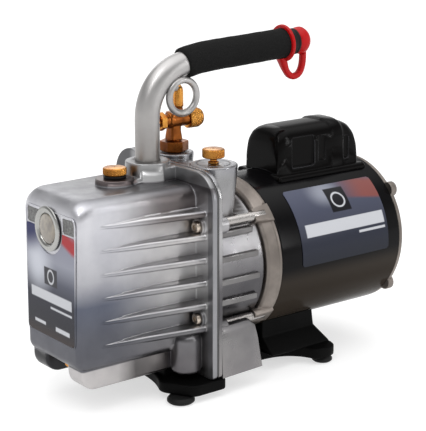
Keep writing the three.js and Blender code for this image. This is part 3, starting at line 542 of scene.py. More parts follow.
def brass(name="machined_brass", light=(0.66, 0.31, 0.065), dark=(0.36, 0.13, 0.025), rough=(0.18, 0.32)):
    s = Shader(name)
    tone = s.mix(s.range(s.noise(70, 4), 0.3, 0.7), dark, light)
    s.set(Base_Color=tone, Metallic=1.0, Roughness=s.range(s.noise(160, 3), 0.3, 0.7, *rough))
    s.bump(s.noise(900, 2), 0.06, 0.0002, 0.0003)
    return s.material


def gloss_black(name, rough, scale, strength, shine, tone=None):
    s = Shader(name)
    smear = s.noise(14, 4)
    colour = tone(s) if tone else s.mix(smear, (0.0020, 0.0018, 0.0019), (0.0040, 0.0034, 0.0033))
    under = s.range(s.axis("Z"), 0.118, 0.085)
    s.set(Base_Color=colour, Roughness=s.range(smear, 0.3, 0.7, rough, rough + 0.08), IOR=1.35,
          Specular_IOR_Level=s.mix_value(under, shine, 0.02))
    s.bump(s.noise(scale, 2), strength, 0.0003, 0.0008)
    return s.material


def painted_edge_highlights(s):
    """Black moulding with painted highlights on the edges of its upper part."""
    share = s.math("MULTIPLY", s.edges(0.0030), s.range(s.axis("Z"), 0.200, 0.204))
    return s.mix(share, (0.0026, 0.0023, 0.0023), (0.050, 0.050, 0.054))


def enamel_painted_reflection(s):
    """Black above, and a dull brown painted reflection low on the shell."""
    return s.mix(s.range(s.axis("Z"), 0.118, 0.098), (0.0026, 0.0024, 0.0028), (0.030, 0.024, 0.019))


def grained_black(name, tone, rough, scale, strength, shine):
    s = Shader(name)
    cloud = s.noise(40, 3)
    s.set(Base_Color=s.mix(cloud, (tone * 0.8,) * 3, (tone * 1.3,) * 3),
          Roughness=s.range(cloud, 0.3, 0.7, *rough), Specular_IOR_Level=shine)
    s.bump(s.cells(scale), strength, 0.0003, 0.0008)
    return s.material


def foam():
    s = Shader("grip_foam")
    cells = s.cells(1100)
    s.set(Base_Color=s.ramp(cells, (0.0, 0.004), (0.6, 0.010), (1.0, 0.014)), Roughness=0.95)
    s.set(Specular_IOR_Level=0.12)
    s.bump(s.math("ADD", cells, s.noise(350, 3)), 0.4, 0.0005)
    return s.material


def red_rubber(name="red_rubber", rough=0.34):
    s = Shader(name)
    cloud = s.noise(60, 3)
    s.set(Base_Color=s.mix(cloud, (0.34, 0.0015, 0.0025), (0.48, 0.0025, 0.004)),
          Roughness=s.range(cloud, 0.3, 0.7, rough, rough + 0.12), Specular_IOR_Level=0.2)
    s.bump(s.noise(500, 2), 0.06, 0.0003, 0.0006)
    return s.material


def sight_glass():
    """Thick glass over amber oil, with the oil's level across it."""
    s = Shader("sight_glass")
    height = s.axis("Z")
    oil = s.ramp(s.range(height, 0.166, 0.195), (0.0, (0.15, 0.12, 0.085)), (0.5, (0.21, 0.175, 0.125)),
                 (1.0, (0.27, 0.235, 0.18)))
    tone = s.mix(s.range(s.noise(120, 4), 0.35, 0.75), oil, (0.11, 0.09, 0.07))
    s.set(Base_Color=tone, Roughness=0.05, IOR=1.5, Coat_Weight=1.0, Coat_Roughness=0.02)
    s.bump(s.noise(60, 2), 0.03, 0.001)
    return s.material


def window_material():
    s = Shader("window_grey")
    grit = s.noise(420, 4)
    s.set(Base_Color=s.ramp(grit, (0.3, (0.07, 0.07, 0.07)), (0.7, (0.26, 0.26, 0.255))), Metallic=0.6,
          Roughness=s.range(grit, 0.3, 0.7, 0.4, 0.6))
    s.bump(grit, 0.5, 0.0005)
    return s.material


class Print(Shader):
    """A flat print. `u` runs from left to right over it and `v` from bottom to top, both 0 to 1."""

    def __init__(self, name, across, low, high, flip=False):
        super().__init__(name)
        index = "XYZ".index(across)
        ends = (high[index] * MM, low[index] * MM) if flip else (low[index] * MM, high[index] * MM)
        self.u = self.range_linear(self.axis(across), *ends)
        self.v = self.range_linear(self.axis("Z"), low[2] * MM, high[2] * MM)

    def band(self, value, low, high, soft=0.006):
        """1 between two values of a coordinate and 0 outside them."""
        return self.math("SUBTRACT", self.range(value, low - soft, low + soft),
                         self.range(value, high - soft, high + soft))

    def paint(self, tone, share, colour):
        return self.mix(share, tone, colour)

    def bar(self, tone, u0, u1, v0, v1, colour):
        share = self.math("MULTIPLY", self.band(self.u, u0, u1), self.band(self.v, v0, v1))
        return self.paint(tone, share, colour)

    def distance(self, cu, cv, aspect):
        du = self.math("MULTIPLY", self.math("SUBTRACT", self.u, cu), aspect)
        dv = self.math("SUBTRACT", self.v, cv)
        squares = self.math("ADD", self.math("MULTIPLY", du, du), self.math("MULTIPLY", dv, dv))
        return self.math("SQRT", squares)

    def ring(self, tone, cu, cv, aspect, inner, outer, colour):
        return self.paint(tone, self.band(self.distance(cu, cv, aspect), inner, outer), colour)

    def sweep(self, tone, rise, start, width, u_from, colour):
        """A soft band of colour that climbs and widens to the right from `u_from`."""
        bend = self.math("MULTIPLY", self.math("SINE", self.math("MULTIPLY", self.u, 3.6)), 0.07)
        lift = self.math("ADD", self.math("MULTIPLY", self.u, rise), bend)
        place = self.math("SUBTRACT", self.math("SUBTRACT", self.v, start), lift)
        inside = self.math("SUBTRACT", self.range(place, 0.0, 0.05), self.range(place, width, width + 0.10))
        share = self.math("MULTIPLY", inside, self.range(self.u, u_from, u_from + 0.35))
        return self.paint(tone, share, colour)

    def finish(self, tone):
        self.set(Base_Color=tone, Roughness=self.range(self.noise(40, 2), 0.3, 0.7, 0.20, 0.26))
        self.set(Specular_IOR_Level=0.16)
        return self.material


SILVER = (0.50, 0.51, 0.54)


def front_label():
    """A plain abstract print: a dark blue corner and a soft red sweep on grey that fades to navy."""
    p = Print("front_label", "Y", *node_box("front_nameplate"), flip=True)
    tone = p.ramp(p.v, (0.0, (0.030, 0.020, 0.018)), (0.10, (0.012, 0.012, 0.018)),
                  (0.30, (0.014, 0.015, 0.026)), (0.46, (0.075, 0.08, 0.11)), (0.62, (0.26, 0.27, 0.32)),
                  (0.80, (0.22, 0.22, 0.28)), (1.0, (0.16, 0.17, 0.24)))
    glow = p.range(p.distance(0.24, 0.56, 0.7), 0.30, 0.02, 0.0, 0.8)
    tone = p.paint(tone, glow, (0.58, 0.60, 0.66))
    corner = p.range(p.distance(0.0, 1.0, 0.66), 0.40, 0.20)
    tone = p.paint(tone, corner, (0.016, 0.020, 0.085))
    tone = p.sweep(tone, -0.02, 0.76, 0.11, 0.44, (0.34, 0.022, 0.028))
    tone = p.bar(tone, 0.38, 0.66, 0.42, 0.56, (0.030, 0.030, 0.036))
    tone = p.ring(tone, 0.52, 0.49, 0.82, 0.044, 0.060, SILVER)
    tone = p.bar(tone, 0.08, 0.96, 0.285, 0.365, SILVER)
    tone = p.bar(tone, 0.50, 0.96, 0.235, 0.252, SILVER)
    tone = p.bar(tone, 0.14, 0.38, 0.080, 0.105, SILVER)
    return p.finish(p.bar(tone, 0.60, 0.90, 0.070, 0.105, SILVER))


def motor_label():
    """The same print in duller tones, with a plain ring on a dark square."""
    p = Print("motor_label", "X", *node_box("motor_nameplate"))
    tone = p.ramp(p.v, (0.0, (0.014, 0.016, 0.024)), (0.35, (0.022, 0.025, 0.040)),
                  (0.60, (0.055, 0.060, 0.088)), (1.0, (0.075, 0.083, 0.125)))
    glow = p.range(p.distance(0.42, 0.92, 0.9), 0.22, 0.02, 0.0, 0.5)
    tone = p.paint(tone, glow, (0.42, 0.44, 0.50))
    tone = p.sweep(tone, 0.05, 0.70, 0.22, 0.52, (0.20, 0.065, 0.058))
    tone = p.bar(tone, 0.07, 0.97, 0.40, 0.57, SILVER)
    tone = p.bar(tone, 0.66, 0.97, 0.325, 0.36, SILVER)
    tone = p.bar(tone, 0.42, 0.64, 0.66, 0.95, (0.010, 0.010, 0.013))
    return p.finish(p.ring(tone, 0.53, 0.805, 1.25, 0.075, 0.095, SILVER))


# ---- camera, floor and light ----
def add_camera():
    data = bpy.data.cameras.new("camera")
    data.lens = 111.86
    data.clip_end = 20
    camera = bpy.data.objects.new("camera", data)
    camera.location = (-0.8346, -1.0715, 0.5148)
    camera.rotation_euler = (radians(90 - 14.581), 0, radians(-37.777))
    into_scene(camera)
    bpy.context.scene.camera = camera


def plain_stage_material(name, tone):
    s = Shader(name)
    cloud = s.noise(6, 2)
    s.set(Base_Color=s.mix(cloud, (tone * 0.99,) * 3, (tone,) * 3), Roughness=0.9)
    s.set(Emission_Color=(1, 1, 1, 1), Emission_Strength=0.62)
    s.surface.inputs["Specular IOR Level"].default_value = 0.1
    return s.material


def add_floor():
    size = 6.0
    mesh = bpy.data.meshes.new("floor")
    corners = [(-size, -size, 0), (size, -size, 0), (size, size, 0), (-size, size, 0)]
    mesh.from_pydata(corners, [], [(0, 1, 2, 3)])
    floor = bpy.data.objects.new("floor", mesh)
    floor.location.z = -0.0005
    into_scene(floor)
    floor.data.materials.append(plain_stage_material("floor_white", 0.45))


def add_light(name, place, target, size, power):
    data = bpy.data.lights.new(name, "AREA")
    data.shape = "RECTANGLE"
    data.size, data.size_y = size
    data.energy = power
    light = bpy.data.objects.new(name, data)
    light.location = place
    light.rotation_euler = (Vector(target) - Vector(place)).to_track_quat("-Z", "Y").to_euler()
    into_scene(light)


def add_world():
    """A bright dome overhead, dim lower down, over a pale horizon."""
    world = bpy.data.worlds.new("studio")
    bpy.context.scene.world = world
    world.use_nodes = True
    nodes, links = world.node_tree.nodes, world.node_tree.links
    place = nodes.new("ShaderNodeTexCoord")
    split = nodes.new("ShaderNodeSeparateXYZ")
    ramp = nodes.new("ShaderNodeValToRGB")
    links.new(place.outputs["Generated"], split.inputs[0])
    links.new(split.outputs["Z"], ramp.inputs["Fac"])
    stops = [(0.0, 0.40), (0.08, 0.42), (0.28, 0.36), (0.44, 0.20), (0.60, 0.18), (0.72, 0.50), (0.82, 0.92),
             (1.0, 1.0)]
    elements = ramp.color_ramp.elements
    while len(elements) < len(stops):
        elements.new(0.5)
    for element, (at, tone) in zip(elements, stops):
        element.position = at
        element.color = (tone, tone, tone, 1)
    links.new(ramp.outputs["Color"], nodes["Background"].inputs["Color"])
    nodes["Background"].inputs["Strength"].default_value = 2.1


def add_stage():
    add_camera()
    add_floor()
    add_world()
    add_light("key", (-0.9, -0.4, 1.5), (0, 0, 0.15), (0.10, 1.0), 4)
    add_light("side", (1.0, -1.5, 0.9), (0.05, 0, 0.15), (0.08, 1.2), 5)
    add_light("back", (0.6, 1.4, 1.0), (0, 0, 0.2), (1.0, 0.6), 3)
    bpy.context.scene.view_settings.view_transform = "Standard"


# ---- oil reservoir ----
TANK_FRONT, TANK_BACK = tank_low[0], tank_high[0]
TANK = {"bottom": 46, "top": 214, "front_half": 50, "rear_half": 56, "corner": 15, "low_corner": 10}
TANK_FLARE = TANK["rear_half"] - TANK["front_half"]
FLANGE_TOP, FLANGE_LOW = 228, 18.4
TANK_FLANGE = (-68.4, -62.8)
LOBE = {"radius": 28.5, "y": 57, "z": 204}
LOWEST_RIB, RIB_STEP, RIB_THICK, RIB_REACH = 70, 23.6, 7.4, 17.5
RAIL_REAR, RAIL_NOSE = -97.3, 16
GLASS, DRAIN, TUBE_FOOT = (0, 0, 181), (0, 0, 42), (-86.5, 0, 0)
WINDOWS = [(15.5, 39.5), (-46.3, -24.5)]
WINDOW_Z = (181.5, 196.5)


def ellipse_inset(depth, reach):
    """How far a rounded front edge of radius `reach` stands in at a depth behind the front face."""
    if depth >= reach:
        return 0
    return reach - sqrt(reach ** 2 - (reach - depth) ** 2)


def tank_ring(x):
    depth = x - TANK_FRONT
    side = ellipse_inset(depth, 9)
    roof = ellipse_inset(depth * 0.85, 17)
    floor = ellipse_inset(depth, 10)
    share = depth / (TANK_BACK - TANK_FRONT)
    half = TANK["front_half"] + TANK_FLARE * share - side
    low, high = TANK["bottom"] + floor, TANK["top"] - roof
    tight = min(5, side)
    low_corner, corner = TANK["low_corner"] - tight, TANK["corner"] - tight
    return [(x, y, z) for y, z in rounded_rect(-half, half, low, high, low_corner, corner, steps=10)]


def tank_block():
    depths = [0, 0.15, 0.5, 1.1, 2, 3.2, 4.8, 6.8, 9.2, 12, 15.5, 20, 30, 60, 100]
    depths.append(TANK_BACK - TANK_FRONT - 0.5)
    return loft("tank", [tank_ring(TANK_FRONT + depth) for depth in depths], 50)


def flange_plate(name, x0, x1, edge=1.3):
    return prism(name, "x", flange_outline(), x0, x1, edge)


def flange_lobe(x0, x1, edge=1.3):
    """Round bulge at the flange's intake corner."""
    return turned("lobe", "x", rounded(rod(LOBE["radius"], x0, x1), edge), (0, LOBE["y"], LOBE["z"]), 96)


def flange_outline(inset=0.0):
    half = FLANGE_HALF - inset
    return rounded_rect(-half, half, FLANGE_LOW + inset, FLANGE_TOP - inset, 6, 28, steps=10)


def tank_rib(z, side):
    """A fin that starts level with the wall and stands out towards the flange, on a soft root."""
    start, stop = -179, TANK_BACK - 1.5
    rings = []
    steps = 22
    for i in range(steps + 1):
        t = i / steps
        x = start + (stop - start) * t
        wall = TANK["front_half"] + TANK_FLARE * (x - TANK_FRONT) / (TANK_BACK - TANK_FRONT)
        lift = RIB_REACH * t ** 0.9 * min(1, t * 14) ** 0.5 + 0.05
        half = RIB_THICK / 2 * min(1, 0.30 + t * 1.6)
        root = half + 1.2
        section = [(wall - 3, -root), (wall - 0.2, -root)]
        section += [(wall + min(1.4, lift * 0.3), -half), (wall + max(lift - half, lift * 0.6), -half)]
        section += [(wall + lift - half * 0.3, -half * 0.72), (wall + lift, -half * 0.2)]
        section += [(y, -z1) for y, z1 in reversed(section)]
        rings.append([(x, side * y, z + dz) for y, dz in section])
    return loft("rib", rings, 40)


def tank_rail(side):
    """Foot rail under the tank, with a round nose and a step up over the base's pad."""
    outline = [(RAIL_REAR, 60), (-198, 60)]
    centre = (-182, 42)
    for k in range(13):
        angle = pi + pi / 2 * k / 12
        outline.append((centre[0] + RAIL_NOSE * cos(angle), centre[1] + RAIL_NOSE * sin(angle)))
    outline.append((RAIL_REAR, 26))
    near, far = sorted((side * 19, side * 46))
    rear = box("rail_rear", -101, -90, near, far, 28, 60, 1.0)
    return union(prism("rail", "y", outline, near, far, 3.2), rear)


def column(side):
    return turned("column", "z", [(0, 24), (11, 24), (14, 25), (15.5, 28), (15.5, 58), (13, 64), (0, 67)],
                  (-80, side * 54, 0), 48)


def screw_seat(side, level):
    """Round boss that a flange screw sits on."""
    y, z = head_place(side, level)
    return turned("seat", "x", rounded(rod(8.6, -72, -66, 9.4), [0, 1, 0, 0]), (0, y, z), 36)


def head_place(side, level):
    """Where a flange screw's head shows, just outside the tank's wall."""
    _, y, z = SCREW_AT[side, level]
    return y * 1.05, z


def make_tank():
    shell = union(tank_block(), *tank_solids(), sharp=38)
    return subtract(shell, *tank_cuts(), sharp=38)


def tank_solids():
    """The flange, bosses, columns, rails and ribs that grow out of the tank."""
    parts = [flange_plate("tank_flange", *TANK_FLANGE), flange_lobe(*TANK_FLANGE)]
    parts.append(turned("fill_boss", "z", rounded(rod(20.6, 205, 220, 19.2), 1.2), (-126, 0, 0)))
    parts.append(box("land", -126, -64, -15.5, 15.5, 205, 218.5, 1.5))
    parts.append(turned("tube_boss", "z", rounded(rod(23.5, 205, 232.7, 22.5), 1.4), TUBE_FOOT))
    parts.append(box("saddle", -86.5, -63.4, -22.3, 22.3, 205, 227.6, 2))
    parts += [column(side) for side in (-1, 1)]
    parts += [tank_rail(side) for side in (-1, 1)]
    parts.append(turned("drain_boss", "x", rounded(rod(8, -178, -150), 0.8), DRAIN))
    parts.append(box("drain_root", -175, -150, -8, 8, 42, 54, 0.8))
    parts += [tank_rib(LOWEST_RIB + RIB_STEP * level, side) for level in range(6) for side in (-1, 1)]
    parts += [screw_seat(side, level) for side, level in SCREWS]
    return parts


def tank_cuts():
    """Room for the sight glass, the tube, the two windows and the screws."""
    cuts = [turned("glass_hole", "x", rod(12, -204, -190), GLASS)]
    cuts.append(turned("socket", "z", rod(12.8, 222, 240), TUBE_FOOT))
    for u0, u1 in WINDOWS:
        cuts.append(prism("window_cut", "x", rounded_rect(u0, u1, *WINDOW_Z, 2.5, steps=4), -205, -200.9))
    for side, level in SCREWS:
        cuts.append(turned("pocket", "x", rod(3.4, -76, -60), (0, *head_place(side, level)), 32))
    return cuts


def make_reservoir():
    finish_piece(make_tank(), "cast", replaces="reservoir_housing")
    gap = 0.1
    for i, (u0, u1) in enumerate(WINDOWS):
        outline = rounded_rect(u0 + gap, u1 - gap, WINDOW_Z[0] + gap, WINDOW_Z[1] - gap, 2.4)
        finish_piece(prism(f"reservoir_window_{i}", "x", outline, -202.0, -200.7, 0.2), "window")
    ring = [(14.8, -203.4), (22, -203.4), (22, -204.8), (20.2, -206), (17.2, -206), (15.4, -204.6),
            (14.8, -203.4)]
    finish_piece(turned("sight_glass_bezel_fine", "x", rounded(ring, 0.5, 3), GLASS, 96), "bezel")
    dome = [(14.5, -203.4), (14.5, -204.2)] + [(14.5 * cos(t), -204.2 - 1.0 * sin(t))
                                             for t in [pi / 2 * k / 8 for k in range(1, 9)]]
    lens = turned("sight_glass_lens_fine", "x", [(0, -203.4)] + dome[:-1] + [(0, -205.2)], GLASS, 64)
    finish_piece(lens, "glass")
    make_front_plate()


def make_front_plate():
    """Printed plate below the windows, cut round the sight glass."""
    plate = prism("front_nameplate_fine", "x", front_outline(180, 0), -203.2, -202.3, 0.2)
    hole = turned("hole", "x", rod(25.2, -206, -200), GLASS, 64)
    subtract(plate, hole)
    finish_piece(plate, "front_label")
    rim = rim_strip(front_outline(199.5, 1.3), 1.3)
    finish_piece(rim, "cast")


def front_outline(top, grow):
    """The plate's outline, a little narrower at its foot, grown by a margin."""
    corners = [(-46.6 - grow, top), (-41.8 - grow, 71 - grow), (42.9 + grow, 71 - grow), (40.8 + grow, top)]
    return rounded(corners, [2 + grow * 5, 6, 6, 2 + grow * 5], 6, closed=True)


def rim_strip(outline, width):
    inner = inset_outline(outline, width)
    rings = []
    for line, x in ((outline, -202.0), (outline, -203.1), (inner, -203.1), (inner, -202.0)):
        rings.append([(x, y, z) for y, z in line])
    return loft("front_plate_rim", rings, 40, closed=True)


# ---- pump-to-motor bracket ----
BRACKET_FLANGE = (-61, -56.5)
DRUM = {"radius": 75.5, "end": 5.2, "inside": 70, "bar_reach": 79.4}
DRUM_BARS = [162 - 22.6 * level for level in range(4)]
VALVE_AT, BALLAST_AT = (-28, 36), (-31.5, -36)


def bracket_column(place, foot, head, top):
    x, y = place
    profile = rounded([(0, 150), (foot - 1, 150), (foot, 160), (head, top), (0, top)], [0, 0, 0, 2.2, 0], 5)
    return turned("column", "z", profile, (x, y, 0), 64)


def bracket_ear(side, level):
    _, y, z = STUD_AT[side, level]
    profile = rounded(rod(9, -58, -42), 1.2)
    return turned("ear", "x", profile, (0, y * 1.12, z), 40)


def drum_rib(z, side):
    """Raised bar along the side of the drum."""
    reach = sqrt(DRUM["bar_reach"] ** 2 - (z - SHAFT_Z) ** 2)
    y0, y1 = sorted((side * (reach - 12), side * reach))
    return box("bar", -57, -5, y0, y1, z - 3.2, z + 3.2, 1.3)


def skirt(side):
    """Flared lower wall behind the flange, with a slanted rear edge."""
    rings = []
    for z, rear, lean in ((18.6, -1, 0), (24, -2, 0.2), (50, -6, 1.4), (64, -9, 3.0), (70, -14, 6.5)):
        outer, inner = FLANGE_HALF - lean, FLANGE_HALF - 7.5 - lean
        corners = rounded([(-56, side * inner), (rear, side * (inner - 3)), (rear, side * (outer - 3.5)),
                           (-56, side * outer)], [0, 1, 2.2, 0], 4)
        rings.append([(x, y, z) for x, y in corners])
    return loft("skirt", rings, 40)


def make_bracket():
    body = flange_plate("pump_bracket_fine", *BRACKET_FLANGE, 0.9)
    union(body, *bracket_solids(), sharp=38)
    subtract(body, *bracket_cuts(), sharp=38)
    finish_piece(body, "bracket")
    # The bars take the darker metal: painted shade.
    shaded_bars = joined("shaded_drum_bars", [drum_rib(z, side) for z in DRUM_BARS for side in (-1, 1)])
    finish_piece(shaded_bars, "shaded_bars")


def bracket_solids():
    radius, end = DRUM["radius"], DRUM["end"]
    profile = rounded([(0, -56), (radius, -56), (radius, 2), (74, end), (0, end)], [0, 0, 2, 1, 0], 4)
    parts = [turned("drum", "x", profile, SHAFT, 96), flange_lobe(*BRACKET_FLANGE, 0.9)]
    parts += [bracket_column(VALVE_AT, 17, 21, 228.3), bracket_column(BALLAST_AT, 19, 24.6, 228)]
    parts.append(box("bridge", -61 + 1, -26, -42, 42, 186, 223, 1))
    parts += [bracket_ear(side, level) for side, level in SCREWS]
    parts += [skirt(side) for side in (-1, 1)]
    return parts


def bracket_cuts():
    cuts = [turned("inside", "x", rod(DRUM["inside"], -52, 8), SHAFT, 64)]
    cuts.append(turned("shaft_hole", "x", rod(14, -64, -50), SHAFT, 32))
    x, y = BALLAST_AT
    cuts.append(turned("ballast_hole", "z", rod(3.5, 200, 231), (x, y, 0), 32))
    ring = [(16.6, 227.2), (16.6, 229), (18.0, 229), (18.0, 227.2), (16.6, 227.2)]
    cuts.append(turned("ballast_groove", "z", ring, (x, y, 0), 48))
    x, y = VALVE_AT
    cuts.append(turned("valve_hole", "z", rod(8, 200, 232), (x, y, 0), 32))
    for side, level in SCREWS:
        _, y, z = STUD_AT[side, level]
        cuts.append(turned("stud_hole", "x", rod(5.1, -51, 8), (0, y, z), 32))
    return cuts


def screw_profile(head_x, tip_x, head_radius, shank):
    return rounded([(0, head_x - 4), (head_radius - 0.6, head_x - 4), (head_radius, head_x), (shank, head_x),
                    (shank, tip_x), (0, tip_x)], [0, 2.2, 0.4, 0, 0.4, 0], 4)


def hex_outline(across_flats, cu=0.0, cv=0.0, turn=0.0):
    radius = across_flats / sqrt(3)
    angles = [turn + pi / 3 * k for k in range(6)]
    return [(cu + radius * cos(angle), cv + radius * sin(angle)) for angle in angles]


def socket_screw(name, place, head_x, tip_x, head_radius=5.6, shank=3.0, key=4.2):
    _, y, z = place
    screw = turned(name, "x", screw_profile(head_x, tip_x, head_radius, shank), (0, y, z), 40)
    return subtract(screw, prism("key", "x", hex_outline(key, y, z), head_x - 6, head_x - 1.6))


def make_screws():
    for side, level in SCREWS:
        place = (0, *head_place(side, level))
        screw = socket_screw(f"flange_screw_{level}_{side}_fine", place, -72.3, -60.5, 6.1, 3.0, 4.6)
        finish_piece(screw, "zinc")
        stud = turned(f"motor_stud_{level}_{side}_fine", "x", rounded(
            [(0, -50.7), (4.7, -50.7), (4.7, -3), (5, -3), (5, 14), (0, 14)], 0.4, 2),
            (0, *STUD_AT[side, level][1:]), 40)
        finish_piece(stud, "stud")
    for name, side in (("left", -1), ("right", 1)):
        screw = socket_screw(f"foot_screw_{name}", (0, side * 48.5, 33.5), -89.5, -86, 4.4, 2.6, 3.2)
        finish_piece(screw, "zinc")
    gasket = prism("reservoir_gasket_fine", "x", flange_outline(0.7), -62.7, -61.3)
    inner = prism("gasket_hole", "x", rounded_rect(-50, 50, 53, 207, 14), -64, -60)
    subtract(gasket, inner)
    finish_piece(gasket, "gasket")


# ---- motor ----
def motor_lug(x0, x1, radius, place, tip=None):
    _, y, z = place
    tip = radius if tip is None else tip
    return turned("lug", "x", rounded(rod(tip, x0, x1, radius), [0, 1, 0, 0], 4), (0, y, z), 36)


def make_motor():
    make_motor_shell()
    make_front_bell()
    make_rear_bell()
    make_motor_plate()


def make_motor_shell():
    skin = [(80, 21.8), (82.2, 21.8), (82.5, 23), (82.5, 188.6), (82.0, 189.6), (80, 189.6), (80, 21.8)]
    shell = turned("motor_shell_fine", "x", rounded(skin, 0.2, 2), SHAFT, 160)
    finish_piece(shell, "enamel")


def make_front_bell():
    profile = [(20.3, 5.6), (76.6, 5.6), (79.2, 8.0), (81.6, 18), (82.4, 19), (82.4, 21.5), (76.5, 21.5),
               (70, 9), (26, 9), (26, 18), (20.3, 18), (20.3, 5.6)]
    profile = rounded(profile, [0, 1, 3, 0.6, 0.6, 0.3] + [0] * 6, 4)
    bell = turned("motor_front_bell_fine", "x", profile, SHAFT, 128)
    union(bell, *[motor_lug(-1, 21.4, 10.5, STUD_AT[key], 7.4) for key in SCREWS], sharp=38)
    keep = turned("keep", "x", rod(84.5, -4, 30), SHAFT, 96)
    combine(bell, [keep], "INTERSECT")
    holes = [turned("hole", "x", rod(5.1, -4, 14.3), (0, *STUD_AT[key][1:]), 32) for key in SCREWS]
    subtract(bell, *holes)
    finish_piece(bell, "bell")


def make_rear_bell():
    profile = [(0, 204.4), (14, 204.4), (16, 206), (30, 206), (58, 203.4), (74, 199), (80.2, 196.2),
               (82.3, 193.6), (82.3, 189.9), (26, 189.9), (26, 180), (20.3, 180), (20.3, 188), (0, 188)]
    profile = rounded(profile, [0, 1, 1, 2, 3, 3, 2, 0.8, 0.4] + [0] * 5, 4)
    cap = turned("motor_rear_bell_fine", "x", profile, SHAFT, 128)
    lugs = [motor_lug(190, 197.5, 8.2, STUD_AT[key]) for key in SCREWS]
    ribs = [turn_about(box("rib", 196, 204.4, -1.6, 1.6, SHAFT_Z + 17, SHAFT_Z + 66, 0.8), "X", 60 * k, SHAFT)
            for k in range(6)]
    union(cap, *lugs, *ribs, sharp=38)
    finish_piece(cap, "bell")
    for key in SCREWS:
        _, y, z = STUD_AT[key]
        nut = prism(f"rear_nut_{key[1]}_{key[0]}", "x", hex_outline(9.4, y, z, pi / 6), 197.2, 200.4, 0.7)
        finish_piece(nut, "zinc")


def make_motor_plate():
    """Printed film wrapped on the near side of the shell."""
    steps = 40
    rings = []
    faces_angle = [radians(-3.4 + 58.4 * k / steps) for k in range(steps + 1)]
    for angle in faces_angle:
        edge = min(angle - faces_angle[0], faces_angle[-1] - angle) * 83
        pull = 2.4 - sqrt(max(0, 2.4 ** 2 - (2.4 - min(edge, 2.4)) ** 2))
        section = []
        for x, radius in ((49 + pull, 82.7), (49 + pull, 83.3), (172 - pull, 83.3), (172 - pull, 82.7)):
            section.append((x, -radius * cos(angle), SHAFT_Z + radius * sin(angle)))
        rings.append(section)
    plate = loft("motor_nameplate_fine", rings, 40)
    finish_piece(plate, "motor_label")


# ---- capacitor cover ----
def cover_ring(x, half, top, low=184.0, square=3.2):
    """Loaf-shaped section: straight walls with a broad round top."""
    ring = []
    spring = top - 27
    for k in range(25):
        angle = pi * k / 24
        c, s = cos(angle), sin(angle)
        y = half * copysign(abs(c) ** (2 / square), c)
        ring.append((x, y, spring + (top - spring) * abs(s) ** (2 / square)))
    ring += [(x, -half - 1.2, low), (x, half + 1.2, low)]
    return ring


COVER_SECTIONS = [  # place along the motor, half width, top
    (61.2, 24.5, 224), (61.6, 26, 234), (63.5, 27, 241), (67, 27.6, 245.4), (72, 28, 247.8), (80, 28, 249),
    (136, 28, 249.4), (137.5, 28.9, 251.2), (151.5, 28.9, 251.0), (153, 27.6, 248.4), (158, 27, 247.2),
    (163, 26.8, 246.2), (168, 26.5, 244), (172.5, 26.2, 239.5), (175, 26, 234), (176.4, 25.6, 227),
    (177, 25, 219),
]
COVER_RECESSES = [  # start, stop, distance from the middle plane, depth, foot, top, edge radius
    (80, 112, 29, 3.8, 206, 239, 2.4), (117, 128, 29, 2.6, 209, 237, 2.2), (154.5, 163, 28, 3, 207, 233, 2.2),
]


def make_cover():
    shell = loft("capacitor_cover_fine", [cover_ring(*section) for section in COVER_SECTIONS], 42)
    lip = box("lip", 56, 181, -36, 36, 183, 201, 3.2)
    union(shell, lip)
    change = []
    for x0, x1, place, depth, z0, z1, edge in COVER_RECESSES:
        for side in (-1, 1):
            y = side * place
            change.append(box("side_recess", x0, x1, y - depth, y + depth, z0, z1, edge))
    change.append(turned("motor_space", "x", rod(82.9, 30, 190), SHAFT, 128))
    change.append(box("hollow", 65, 168, -23, 23, 180, 216, 2))
    change.append(box("capacitor_space", 67, 138, -17.6, 17.6, 204, 244, 2))
    change.append(box("inlet_hole", 150, 192, -14.3, 14.3, 203.7, 220.3, 0.6))
    change.append(box("switch_hole", 160, 190, -8.4, 8.4, 223, 239, 0.6))
    subtract(shell, *change, sharp=42)
    finish_piece(shell, "cover")
    frame_ring = box("switch_frame", 164.5, 174.6, -10.2, 10.2, 221.2, 240.6, 1.2)
    subtract(frame_ring, box("switch_window", 160, 178, -8.0, 8.0, 222.6, 239.2, 0.5))
    finish_piece(frame_ring, "plastic")
    socket = box("power_inlet_fine", 150, 176.5, -14, 14, 204, 220, 1.0)
    subtract(socket, box("recess", 158, 178, -10.5, 10.5, 206.5, 217.5, 1.0))
    pins = [box("pin", 157, 168, y - 1, y + 1, 210, 214.5, 0.4) for y in (-6, 0, 6)]
    union(socket, *pins)
    flange_ring = box("inlet_rim", 175.0, 178.4, -16.4, 16.4, 202.2, 221.8, 1.0)
    subtract(flange_ring, box("rim_hole", 168, 181, -13.2, 13.2, 205, 219, 0.5))
    union(socket, flange_ring)
    finish_piece(socket, "plastic")


# ---- handle ----
TUBE_X, TUBE_RADIUS = TUBE_FOOT[0], 12.45
BEND_Z, BEND_R = 273.5, 52
GRIP_RADIUS = 15.7
SLEEVE_AT, CAP_AT, TETHER_AT = 93.5, 104, 90.6
LAST_BEND = radians(78)
RUN_RISE = radians(3.3)


def run_point(x):
    return (x, 0, 336.7 + (x - 113) * tan(RUN_RISE))


def bend_point(angle):
    return (TUBE_X + BEND_R - BEND_R * cos(angle), 0, BEND_Z + BEND_R * sin(angle))


